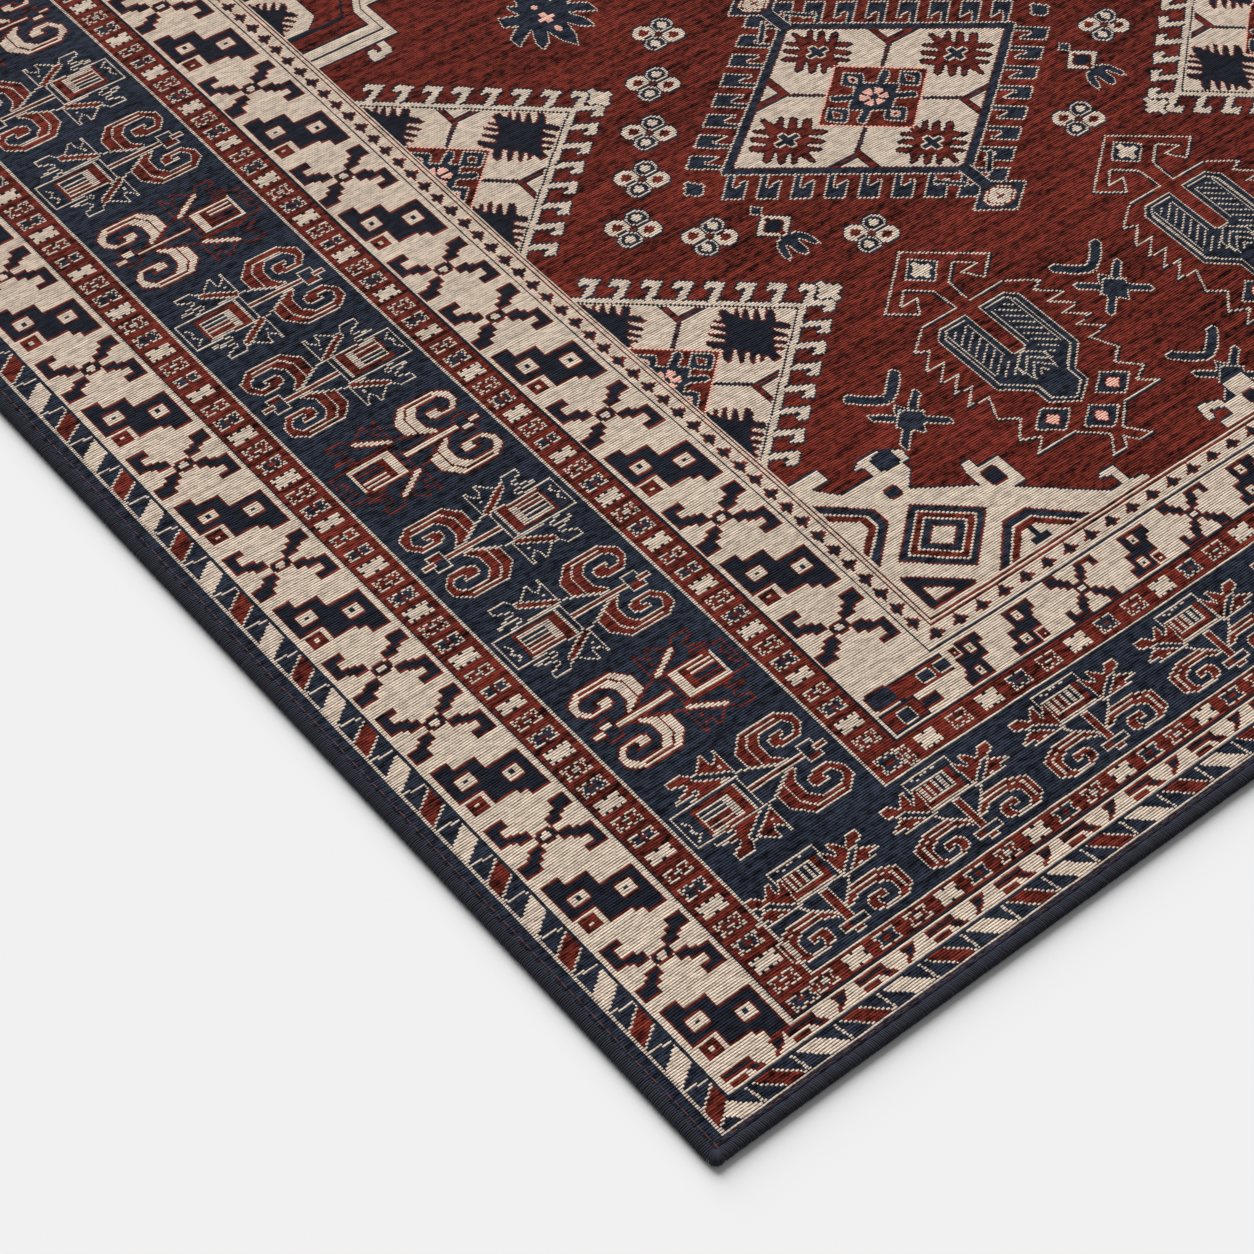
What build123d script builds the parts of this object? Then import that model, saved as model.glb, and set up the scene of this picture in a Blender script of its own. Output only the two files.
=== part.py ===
from build123d import *
import os

# Flat-woven area rug with serged edges, 6 ft by 9 ft, lying flat.
#
# Frame, in millimetres: the origin is the middle of the rug on the floor, +X runs across the
# width, +Y along the length and +Z up. Three cloth layers are bonded face to face. Round the
# rim a filler cord lies against their cut edges, and serging yarn wraps cord and rim together.
# A lockstitch just inside the serging ties it down: a needle thread on top, a bobbin thread
# underneath.

# Size of the finished rug
WIDTH = 1829.0  # across, in X
LENGTH = 2743.0  # along, in Y

# Cloth layers, from the floor up
BACKING_THICK = 1.6
BOND_THICK = 0.4
FACE_THICK = 3.0
FACE_TOP = BACKING_THICK + BOND_THICK + FACE_THICK
LAYER_CORNER = 1.4  # the cloth's corners are trimmed round

# Serged rim
WRAP_THICK = 0.9  # one layer of serging yarn
RIM_WIDTH = 8.0  # how far the serging reaches in from the outer edge
RIM_HEIGHT = FACE_TOP + WRAP_THICK
RIM_ROUND = 2.6  # roll of the serging over the edge, in section
RIM_CORNER = 5.0  # outer corner of the rug, in plan
CORD_DIAMETER = 3.4
CORD_GAP = 0.1  # from the cord to the cut edges it lies against
CORD_BEND = 0.8  # the cord's inner radius where it turns a corner

# Lockstitch
STITCH_INSET = 9.2  # from the outer edge to the thread
THREAD_WIDTH = 0.6
THREAD_THICK = 0.3
REBATE_INSET = 10.4  # the backing is pressed thin from here to its cut edge

# Worked out from the sizes above
LAYER_INSET = WRAP_THICK + CORD_DIAMETER + CORD_GAP
CORD_INSET = WRAP_THICK + CORD_DIAMETER / 2
CORD_CORNER = CORD_DIAMETER / 2 + CORD_BEND
CAVITY_CORNER = RIM_CORNER - WRAP_THICK
FULL_BOTTOM = (Align.CENTER, Align.CENTER, Align.MIN)


def slab(inset, bottom, top, corner=0.0):
    """Plate that stops inset short of the rug's outer edge, with its corners rounded in plan."""
    size_x = WIDTH - 2 * inset
    size_y = LENGTH - 2 * inset
    outline = RectangleRounded(size_x, size_y, corner) if corner else Rectangle(size_x, size_y)
    return Pos(0, 0, bottom) * extrude(outline, top - bottom)


def woven_face():
    """Jacquard-woven face cloth, which carries the whole design in its yarns."""
    return slab(LAYER_INSET, FACE_TOP - FACE_THICK, FACE_TOP, LAYER_CORNER)


def latex_bond_coat():
    """Thin latex coat that locks the weave and bonds the backing to it."""
    return slab(LAYER_INSET, BACKING_THICK, BACKING_THICK + BOND_THICK, LAYER_CORNER)


def backing_cloth():
    """Plain cotton backing, pressed thin under the serging and the lockstitch."""
    full = slab(LAYER_INSET, WRAP_THICK, BACKING_THICK, LAYER_CORNER)
    foot = slab(REBATE_INSET, 0.0, WRAP_THICK)
    return full + foot


def edge_filler_cord():
    """Round cord in one loop against the cut edges, which makes the serged edge full."""
    path_outline = RectangleRounded(WIDTH - 2 * CORD_INSET, LENGTH - 2 * CORD_INSET, CORD_CORNER)
    middle = (WRAP_THICK + FACE_TOP) / 2
    path = Pos(0, 0, middle) * path_outline.wire()
    start = path @ 0
    section = Plane(origin=start, z_dir=path % 0) * Circle(CORD_DIAMETER / 2)
    return sweep(section, path)


def serged_rim():
    """The whole wrap of serging yarn: rounded outside, hollow where it holds cord and cloth."""
    block = extrude(RectangleRounded(WIDTH, LENGTH, RIM_CORNER), RIM_HEIGHT)
    rims = block.edges().group_by(Axis.Z)
    block = fillet(rims[0] + rims[-1], RIM_ROUND)
    middle_hole = slab(RIM_WIDTH, 0.0, RIM_HEIGHT)
    cavity = slab(WRAP_THICK, WRAP_THICK, FACE_TOP, CAVITY_CORNER)
    return block - middle_hole - cavity


def serging_pieces():
    """The wrap cut where one side's serging ends and a corner's fan of stitches begins."""
    rim = serged_rim()
    side_x = WIDTH - 2 * RIM_WIDTH
    side_y = LENGTH - 2 * RIM_WIDTH
    centre_x = (WIDTH - RIM_WIDTH) / 2
    centre_y = (LENGTH - RIM_WIDTH) / 2
    cutters = {
        "serging_front": (0, -centre_y, side_x, RIM_WIDTH),
        "serging_back": (0, centre_y, side_x, RIM_WIDTH),
        "serging_left": (-centre_x, 0, RIM_WIDTH, side_y),
        "serging_right": (centre_x, 0, RIM_WIDTH, side_y),
    }
    for end, sign_y in (("front", -1), ("back", 1)):
        for side, sign_x in (("left", -1), ("right", 1)):
            name = f"corner_serging_{end}_{side}"
            cutters[name] = (sign_x * centre_x, sign_y * centre_y, RIM_WIDTH, RIM_WIDTH)
    pieces = {}
    for name, (x, y, size_x, size_y) in cutters.items():
        cutter = Pos(x, y, 0) * Box(size_x, size_y, RIM_HEIGHT, align=FULL_BOTTOM)
        pieces[name] = rim & cutter
    return pieces


def thread_run(x, y, size_x, size_y, bottom):
    """One straight run of lockstitch thread, laid flat."""
    return Pos(x, y, bottom) * Box(size_x, size_y, THREAD_THICK, align=FULL_BOTTOM)


def lockstitch_threads():
    """Needle thread on the face and bobbin thread under the backing's thin rim, on each side."""
    line_x = WIDTH / 2 - STITCH_INSET
    line_y = LENGTH / 2 - STITCH_INSET
    long_x = 2 * line_x - THREAD_WIDTH
    long_y = 2 * line_y + THREAD_WIDTH
    runs = {
        "front": (0, -line_y, long_x, THREAD_WIDTH),
        "back": (0, line_y, long_x, THREAD_WIDTH),
        "left": (-line_x, 0, THREAD_WIDTH, long_y),
        "right": (line_x, 0, THREAD_WIDTH, long_y),
    }
    threads = {}
    for side, run in runs.items():
        threads[f"needle_thread_{side}"] = thread_run(*run, FACE_TOP)
        threads[f"bobbin_thread_{side}"] = thread_run(*run, WRAP_THICK - THREAD_THICK)
    return threads


def all_pieces():
    """Every separate piece of the rug, by name."""
    pieces = {
        "woven_face": woven_face(),
        "latex_bond_coat": latex_bond_coat(),
        "backing_cloth": backing_cloth(),
        "edge_filler_cord": edge_filler_cord(),
    }
    pieces.update(serging_pieces())
    pieces.update(lockstitch_threads())
    return pieces


os.makedirs("parts", exist_ok=True)
for node, shape in all_pieces().items():
    export_step(shape, f"parts/{node}.step")
    print(node, round(shape.volume), "mm3")
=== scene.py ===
import math
import bpy
import numpy as np
from mathutils import Matrix, Vector


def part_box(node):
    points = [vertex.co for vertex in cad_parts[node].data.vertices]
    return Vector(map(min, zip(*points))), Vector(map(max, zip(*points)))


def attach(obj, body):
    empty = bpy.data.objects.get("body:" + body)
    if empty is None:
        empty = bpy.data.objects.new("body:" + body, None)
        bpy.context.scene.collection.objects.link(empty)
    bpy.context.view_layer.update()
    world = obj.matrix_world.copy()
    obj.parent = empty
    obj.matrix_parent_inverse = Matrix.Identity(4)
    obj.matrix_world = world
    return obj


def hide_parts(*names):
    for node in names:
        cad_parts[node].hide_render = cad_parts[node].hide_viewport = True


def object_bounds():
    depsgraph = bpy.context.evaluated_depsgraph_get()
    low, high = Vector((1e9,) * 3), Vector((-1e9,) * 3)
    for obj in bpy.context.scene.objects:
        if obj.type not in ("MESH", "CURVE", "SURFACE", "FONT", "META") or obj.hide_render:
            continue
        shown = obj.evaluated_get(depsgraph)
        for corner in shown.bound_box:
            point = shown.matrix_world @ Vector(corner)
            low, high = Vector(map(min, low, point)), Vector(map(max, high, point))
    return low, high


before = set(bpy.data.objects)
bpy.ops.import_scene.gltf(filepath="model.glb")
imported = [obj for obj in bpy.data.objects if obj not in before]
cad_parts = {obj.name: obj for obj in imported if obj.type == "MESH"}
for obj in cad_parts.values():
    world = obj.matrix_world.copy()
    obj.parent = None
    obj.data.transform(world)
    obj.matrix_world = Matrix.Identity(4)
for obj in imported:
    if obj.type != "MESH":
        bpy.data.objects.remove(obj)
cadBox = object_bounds()
print("frame loaded")

# The rug lies flat, so places are counted in millimetres from its outer front left corner.
# The design is drawn for that quarter and mirrored, as the weaver's chart of such a rug is.
outerLow, outerHigh = cadBox
faceLow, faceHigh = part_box("woven_face")
mm = 1000.0
halfWidth = (outerHigh[0] - outerLow[0]) * mm / 2
halfLength = (outerHigh[1] - outerLow[1]) * mm / 2
faceInset = (faceLow[0] - outerLow[0]) * mm

yarnNames = ("rust", "navy", "cream", "plum", "blush", "bead")
rust, navy, cream, plum, blush, bead = range(6)  # bead is the cream of the one-stitch outlines

loomSettings = {"stitch": (1.0, 1.6)}  # millimetres, along a rib and from rib to rib

bands = {  # where each band starts, from the side and from the front
    "plain": (0, 0),
    "pole": (17.6, 12.6),
    "outerCream": (32.6, 26.6),
    "outerGuard": (91.6, 40.0),
    "main": (117.6, 55.4),
    "innerGuard": (234.4, 120.2),
    "innerCream": (259.6, 139.6),
    "dotted": (319.0, 177.4),
    "field": (337.0, 194.4),
}


def grown(mask):
    wide = mask.copy()
    wide[1:] |= mask[:-1]
    wide[:-1] |= mask[1:]
    wide[:, 1:] |= mask[:, :-1]
    wide[:, :-1] |= mask[:, 1:]
    return wide


def insidePolygon(points, u, v):
    inside = np.zeros(u.shape, bool)
    for (x0, y0), (x1, y1) in zip(points, points[1:] + points[:1]):
        crosses = (y0 > v) != (y1 > v)
        inside ^= crosses & (u < x0 + (v - y0) * (x1 - x0) / (y1 - y0 if y1 != y0 else 1))
    return inside


def nearLine(points, thick, u, v):
    near = np.zeros(u.shape, bool)
    for (x0, y0), (x1, y1) in zip(points, points[1:]):
        run, rise = x1 - x0, y1 - y0
        along = np.clip(((u - x0) * run + (v - y0) * rise) / (run * run + rise * rise), 0, 1)
        near |= np.hypot(u - x0 - along * run, v - y0 - along * rise) <= thick / 2
    return near


class Loom:
    # one quarter of the face, a number for each stitch's yarn
    def __init__(self):
        across = round((halfWidth - faceInset) / loomSettings["stitch"][0])
        along = round((halfLength - faceInset) / loomSettings["stitch"][1])
        self.x = np.linspace(faceInset, halfWidth, 2 * across + 1)[1::2]
        self.y = np.linspace(faceInset, halfLength, 2 * along + 1)[1::2]
        self.chart = np.full((along, across), rust, np.uint8)

    def ring(self, outer, inner, yarn):  # a frame between two distances from side and front
        inside = (self.x >= outer[0]) & (self.y[:, None] >= outer[1])
        hole = (self.x >= inner[0]) & (self.y[:, None] >= inner[1])
        self.chart[inside & ~hole] = yarn

    def line(self, start, yarn, cols):  # a thin frame, one row high and some stitches wide
        col, row = np.searchsorted(self.x, start[0]), np.searchsorted(self.y, start[1])
        self.chart[row:, col:col + cols] = yarn
        self.chart[row, col:] = yarn

    def isFree(self, x, y, reach, ground):
        near = np.ix_(abs(self.y - y) < reach, abs(self.x - x) < reach)
        return y + reach < halfLength and bool(np.all(self.chart[near] == ground))

    def whole(self):
        half = np.concatenate([self.chart, self.chart[:, ::-1]], axis=1)
        return np.concatenate([half, half[::-1]], axis=0)


class Patch:
    # the stitches round one motif, with u and v measured from its middle
    def __init__(self, loom, x, y, reach, turn=0, stretch=(1.0, 1.0)):
        wide, high = (reach, reach) if np.isscalar(reach) else reach
        cols = slice(*np.searchsorted(loom.x, (x - wide, x + wide)))
        rows = slice(*np.searchsorted(loom.y, (y - high, y + high)))
        self.chart = loom.chart[rows, cols]
        dx, dy = np.meshgrid(loom.x[cols] - x, loom.y[rows] - y)
        across, up = ((dx, dy), (dy, -dx), (-dx, -dy), (-dy, dx))[turn]
        self.u = across / stretch[0]
        self.v = up / stretch[1]
        self.p, self.q = abs(self.u), abs(self.v)

    def weave(self, mask, yarn):
        self.chart[mask] = yarn

    def motif(self, mask, yarn, *edges):  # edges are the yarns of its outlines, inner first
        wide = mask
        rims = []
        for edge in edges:
            wide = grown(wide)
            rims.append((wide, edge))
        for area, edge in reversed(rims):
            self.chart[area] = edge
        self.chart[mask] = yarn

    def outlined(self, mask, yarn, edge):  # the outline is the shape's own outer stitches
        self.chart[mask] = edge
        self.chart[~grown(~mask)] = yarn

    def block(self, left, right, low, high, fold=False):
        u = self.p if fold else self.u
        return (u >= left) & (u <= right) & (self.v >= low) & (self.v <= high)

    def diamond(self, wide, high, u=0.0, v=0.0):
        return abs(self.u - u) / wide + abs(self.v - v) / high <= 1

    def octagon(self, wide, high, u=0.0, v=0.0, cut=0.6, fold=False):
        across = abs((self.p if fold else self.u) - u) / wide
        up = abs(self.v - v) / high
        return (across <= 1) & (up <= 1) & (across + up <= 1 + cut)

    def plus(self, arm, thick, u=0.0, v=0.0):
        across, up = abs(self.u - u), abs(self.v - v)
        return (across <= arm) & (up <= thick) | (across <= thick) & (up <= arm)

    def folded(self, fold, foldBoth):  # a shape may be drawn for one half, or for one quarter
        return self.p if fold or foldBoth else self.u, self.q if foldBoth else self.v

    def polygon(self, points, fold=False, foldBoth=False):
        return insidePolygon(points, *self.folded(fold, foldBoth))

    def stroke(self, points, thick, fold=False, foldBoth=False):
        return nearLine(points, thick, *self.folded(fold, foldBoth))


def leafyStar(patch, u, v, size, points, yarn, edge, heart):
    # a star of slanting leaves, drawn for one quarter and folded
    across, up = abs(patch.u - u) / size, abs(patch.v - v) / size
    patch.outlined(insidePolygon(points, across, up), yarn, edge)
    if heart:
        core = (across <= 9.5) & (up <= 1.7) | (across <= 2.6) & (up <= 6.6) | (across / 6 + up / 4.4 <= 1)
        patch.motif(core, navy, cream)


openStar = [(-1, 27), (0, 27), (2.2, 25.5), (3.6, 17.5), (4.6, 17), (10, 21), (13.8, 20.8), (13.8, 18.5),
    (7, 11.4), (8.4, 10), (15.5, 15.8), (20.8, 15.4), (20.8, 13), (14, 5.6), (15.4, 4.6), (23, 9.8),
    (28, 8.8), (28, 6), (21, 0), (20, -1), (-1, -1)]
fullStar = [(-1, 27), (0, 27), (3.2, 26.4), (3.8, 20.8), (5, 20.2), (8.6, 23), (10.6, 21.6), (6.2, 16),
    (7.4, 15), (13.8, 20.6), (16.4, 19.4), (10, 10.8), (11.4, 10), (18.8, 16), (21.4, 15), (15.4, 5.8),
    (16.8, 4.8), (24.8, 11.6), (28, 10), (26.5, 4.5), (22, 0), (21, -1), (-1, -1)]


def diamondCells(patch, wide, high, star, starYarn, starEdge, heart, starU, starV):
    # four cream cells inside a hooked diamond, parted by rust bands
    ends = patch.diamond(wide, high)
    patch.weave(ends, rust)
    side = patch.octagon(0.4 * wide, 0.4 * high, u=0.6 * wide, fold=True, cut=0.5)
    pole = (patch.p <= 0.36 * wide) & (abs(patch.q - 0.6 * high) <= 0.38 * high)
    pole &= patch.p / (0.36 * wide) + abs(patch.q - 0.6 * high) / (0.38 * high) <= 1.5
    corner = (patch.p > 0.41 * wide) & (patch.q > 0.46 * high)
    for cell in (side, pole, corner):
        patch.motif(cell & ends, cream, navy)
    for u, v in ((starU, 0), (-starU, 0), (0, starV), (0, -starV)):
        leafyStar(patch, u, v, 1.0 if u else 0.94, star, starYarn, starEdge, heart)


def centreRosette(patch, wide, high):
    patch.motif(patch.diamond(wide, high), rust, blush)
    endU, endV = 0.67 * wide, 0.56 * high
    arms = patch.diamond(0.46 * wide, 0.44 * high)
    arms |= patch.stroke([(0, 0), (0.48 * wide, 0.36 * high)], 4.6, foldBoth=True)
    for u, v in ((endU, 0), (-endU, 0), (0, endV), (0, -endV)):
        arms |= patch.diamond(10, 8.6, u, v) | patch.octagon(7.4, 5.4, u, v, cut=0.5)
    patch.motif(arms, navy, bead)
    for u, v in ((endU, 0), (-endU, 0), (0, endV), (0, -endV)):
        patch.motif(patch.diamond(3.4, 3.2, u, v), blush if v else rust, bead)
        patch.weave(patch.plus(1.4, 1, u, v), rust)
    turn = np.arctan2(patch.v / 8.5, patch.u / 11)
    out = np.hypot(patch.u / 11, patch.v / 8.5)
    patch.weave((out < 1) & (out > 0.3) & (abs(np.sin(3 * turn)) > 0.42), blush)


def latchHooks(patch, wide, high, first, step, hook, yarn, edge):
    # a row of hooks on each of the four sides, from the side tips towards the top and bottom
    x0 = first
    while x0 > 3:
        y0 = high * (1 - x0 / wide)
        points = [(x0 + x, y0 + y) for x, y in hook]
        shape = patch.polygon(points, foldBoth=True) & (patch.p > 2)
        if edge == bead:
            patch.outlined(shape, yarn, edge)
        else:
            patch.motif(shape, yarn, edge)
        x0 -= step


def creamDiamond(loom, x, y):
    wide, high = 118.0, 91.0
    patch = Patch(loom, x, y, (162, 118))
    hook = [(-2.5, -1), (5, -0.5), (12.5, 4.2), (18.8, 7), (10, 14.8), (3.4, 11.2), (4, 10), (8.6, 9.2),
        (10, 7.4), (5, 5), (-1.5, 1.6)]
    patch.motif(patch.diamond(wide, high), cream, navy)
    latchHooks(patch, wide, high, wide - 0.5, 15.7, hook, cream, navy)
    patch.weave(patch.diamond(wide - 1, high - 1), cream)
    diamondCells(patch, wide - 9, high - 7, fullStar, plum, rust, False, 69, 57)
    patch.weave(patch.diamond(wide - 1, high - 1) & ~patch.diamond(wide - 10, high - 7.6), cream)
    dots = patch.diamond(wide - 6.4, high - 5) & ~patch.diamond(wide - 8.4, high - 6.4)
    patch.weave(dots, navy)
    centreRosette(patch, 44, 35)
    for side in (-1, 1):
        star = patch.plus(9.5, 2.4, side * (wide + 19), 0)
        star |= patch.octagon(5.2, 5.2, side * (wide + 19), 0, cut=0.8)
        patch.motif(star, cream, navy)


def navyMedallion(loom, x, y):
    wide, high = 136.0, 94.0
    patch = Patch(loom, x, y, (178, 150))
    hook = [(0, -1.5), (21, 15), (8.5, 23.5), (-6.5, 11.5), (-4, 9.4), (6.8, 11.2), (-3.4, 2.6)]
    latchHooks(patch, wide, high, wide - 4.5, 18.2, hook, navy, bead)
    patch.motif(patch.diamond(wide, high), navy, bead)
    rim = patch.diamond(wide - 9.6, high - 6.8)
    patch.weave(rim, rust)
    diamondCells(patch, wide - 11, high - 7.8, openStar, rust, plum, True, 78, 57)
    patch.weave(rim & ~patch.diamond(wide - 11, high - 7.8), rust)
    centreRosette(patch, 50, 38)
    for side in (-1, 1):
        star = patch.plus(8.5, 2.4, side * 160, 0)
        star |= patch.octagon(5.4, 5.4, side * 160, 0, cut=0.8)
        patch.outlined(star, navy, bead)
    for end in (-1, 1):
        stem = (patch.p <= 5.4) & (patch.v * end > high - 6) & (patch.v * end < high + 14)
        v = end * (high + 27.5)
        patch.outlined(stem | patch.diamond(25.5, 17.2, 0, v), navy, bead)
        patch.weave((patch.p < 4.2) & (patch.v * end > high - 8) & (patch.v * end < high + 14), navy)
        speckles = (patch.p // 2 + abs(patch.v - v) // 1.6) % 3 < 2
        flower = patch.octagon(12.5, 8.4, 0, v, cut=0.35) & speckles
        patch.motif(flower | patch.octagon(9, 6, 0, v, cut=0.4), cream, rust)
        patch.weave(patch.plus(3.6, 0.9, 0, v), rust)
    slips = patch.stroke([(25, high - 7), (11, high + 6)], 5.2, foldBoth=True)
    patch.outlined(slips, navy, bead)


def rosette(loom, x, y):
    # four petals, light and dark in turn
    patch = Patch(loom, x, y, (20, 16), stretch=(0.93, 0.93))
    for side, up, ground in ((-1, 1, cream), (1, -1, cream), (1, 1, navy), (-1, -1, navy)):
        u, v = side * 8.8, up * 6.9
        petal = patch.octagon(8.6, 6.9, u, v, cut=0.45)
        if ground == cream:
            patch.motif(petal, cream, navy)
            stem = patch.block(u - 1.4, u + 1.4, v, v + 4)
            patch.weave(patch.octagon(4.6, 2.9, u, v, cut=0.3) | stem, rust)
        else:
            patch.motif(petal, bead, navy)
            patch.weave(patch.octagon(7.2, 5.2, u, v, cut=0.45), navy)
            stem = patch.block(u - 1.4, u + 1.4, v - 3.6, v + 3.6)
            patch.weave(patch.octagon(4.4, 2.9, u, v, cut=0.3) | stem, cream)
    patch.weave(patch.diamond(3, 3), rust)


def footedDiamond(loom, x, y):
    patch = Patch(loom, x, y, (19, 33))
    leaves = patch.polygon([(0, -9), (8, -11), (12.5, -16), (14.5, -23), (14, -29.5), (10.5, -29), (8, -24),
                            (6, -19), (4.8, -18.5), (4.4, -27), (1.6, -31.5), (0, -32)], fold=True)
    patch.outlined(leaves, navy, bead)
    patch.motif(patch.diamond(15, 11.5), cream, navy)
    patch.weave(patch.octagon(7.6, 5.8, cut=0.4) | patch.plus(8.6, 2), rust)
    patch.weave(patch.octagon(6.4, 4.6, cut=0.4), plum)
    patch.outlined(patch.diamond(6, 5.6, 0, 17), navy, bead)


def smallDiamond(patch, u, v):
    patch.outlined(patch.diamond(16.5, 12, u, v), navy, bead)
    patch.motif(patch.diamond(5.6, 5, u, v) | patch.plus(4.6, 1.2, u, v), blush, rust)


def shield(loom, x, y):
    # a shield on a zigzag ground, with a volute head; y is the shield's own middle
    patch = Patch(loom, x, y, (68, 128))
    outline = [(0, 112), (47, 77), (29, 64), (20, 75.5), (34, 76), (22, 86), (7, 74), (5.4, 55), (37, 54),
        (56, 41)]
    for i in range(4):
        outline += [(46.5, 37 - 12.6 * i), (61, 25 - 12.6 * i)]
    outline += [(45, -14), (54, -31), (42, -39), (55.5, -52), (42, -58), (54.5, -67.5), (22, -67.5),
        (5, -82), (17, -96), (6, -96), (0, -88)]
    shadow = patch.stroke([(u + 1.5, v - 0.8) for u, v in outline], 1.6, fold=True)
    patch.weave(shadow, plum)
    patch.weave(patch.stroke(outline, 1.5, fold=True), bead)
    patch.outlined(patch.diamond(15.2, 13, 0, 92), navy, bead)
    patch.motif(patch.diamond(8, 7, 0, 92) | patch.plus(8, 2.2, 0, 92), cream, navy)
    body = [(0, 48), (28, 48), (37, 40), (37, -13), (18, -28), (18, -40), (0, -51.5)]
    patch.outlined(patch.polygon(body, fold=True), navy, bead)
    inner = [(9.4, 43.5), (26, 43.5), (31.5, 38), (31.5, -10.5), (13.2, -25.6), (13.2, -37.6), (0, -46.5)]
    patch.weave(patch.stroke(inner, 1.5, fold=True), bead)
    hatch = (patch.p > 12.4) & (patch.p < 26.8) & (patch.v < 39) & (patch.v > -6 - 0.6 * (26.8 - patch.p))
    patch.weave(hatch & ((patch.v + 0.75 * patch.p + 400) % 6.4 < 1.5), bead)
    for u in (10.6, 28.2):
        patch.weave(patch.stroke([(u, 39.5), (u, -4 if u > 20 else 6)], 1.1, fold=True), bead)
    for i in range(4):
        v, u = 3 - 6 * i, 12 - 1.4 * i
        low = [(0, v), (u, v - 9), (u, v - 16 + 2 * i)]
        patch.weave(patch.stroke(low, 1.5, fold=True) & (patch.v > -22), bead)
    patch.weave(patch.octagon(9.6, 12, 0, -31, cut=0.5), navy)
    channel = patch.block(0, 6.6, 8, 48, fold=True) | patch.octagon(6.6, 6, 0, 8, cut=0.5)
    patch.outlined(channel, rust, bead)
    patch.weave(patch.block(0, 5.4, 44, 60, fold=True), rust)
    for u, v in ((-26, -51.5), (28, -51), (1.3, -67.5)):
        smallDiamond(patch, u, v)


def crossedBird(loom, x, y):
    patch = Patch(loom, x, y, (26, 34))
    wings = patch.stroke([(0, 8), (9, 13), (19, 22)], 8.6, fold=True)
    patch.outlined(wings & (patch.v < 27) & (patch.v > 5.5 - patch.p), navy, bead)
    legs = patch.diamond(12, 15, 0, -12)
    for foot in (2, -27):
        legs |= patch.stroke([(0, -12), (19, foot)], 6.8, fold=True)
    legs &= patch.p < 21
    patch.outlined(legs, navy, bead)
    patch.weave(patch.stroke([(0, -3), (12, -12)], 1.5, fold=True), bead)


def spikyFlower(loom, x, y):
    patch = Patch(loom, x, y, (44, 46), stretch=(0.95, 0.86))
    petals = patch.polygon([(0, 0), (4, 8), (11, 12), (36, -4), (36, -15), (22, -6), (16, -3),
                            (24, -20), (24, -29), (15, -23), (9, -12), (5.5, -30), (0, -39)], fold=True)
    petals |= patch.polygon([(0, 0), (5, -4), (14, 2), (32, 10), (30, 20), (14, 14), (17, 28), (9, 24),
                             (5, 34), (0, 40)], fold=True)
    patch.motif(petals, navy, bead)
    patch.weave(patch.plus(6.5, 2.4), blush)
    for v in (15, -15):
        patch.weave(patch.plus(3, 1.2, 0, v), blush)


def stepFigure(loom, x, y):
    # a stepped cream outline that the border cuts in half
    patch = Patch(loom, x, y, (140, 190))
    shape = patch.block(0, 66, -173, 173, fold=True) | patch.block(0, 86, -138, 138, fold=True)
    shape |= patch.block(0, 112, -96, 96, fold=True) | patch.block(0, 128, -46, 46, fold=True)
    corner = np.zeros(shape.shape, bool)
    for hook in ([(50, 172), (50, 184), (38, 186), (40, 180)], [(84, 136), (98, 144), (98, 132)],
                 [(110, 94), (122, 102), (122, 90)]):
        corner |= patch.stroke(hook, 6, foldBoth=True)
    patch.motif(corner, cream, navy)
    patch.motif(shape, cream, navy)
    layer = shape
    for i in range(22):
        layer = ~grown(~layer)
        if i in (4, 10):
            patch.weave(layer & grown(~layer), navy)
        if i == 11:
            patch.weave(layer, rust)
        if i in (19, 20):
            patch.weave(layer & grown(~layer), plum)
    patch.motif(patch.diamond(72, 66), cream, navy)
    patch.weave(patch.diamond(66, 60), navy)
    patch.motif(patch.diamond(58, 53), rust, blush)
    patch.weave(patch.diamond(40, 36), cream)
    leafyStar(patch, 0, 0, 1.0, openStar, navy, rust, True)
    for v in (112, -112):
        patch.motif(patch.octagon(30, 24, 0, v), cream, navy)
        leafyStar(patch, 0, v, 0.8, fullStar, plum, rust, False)


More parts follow.
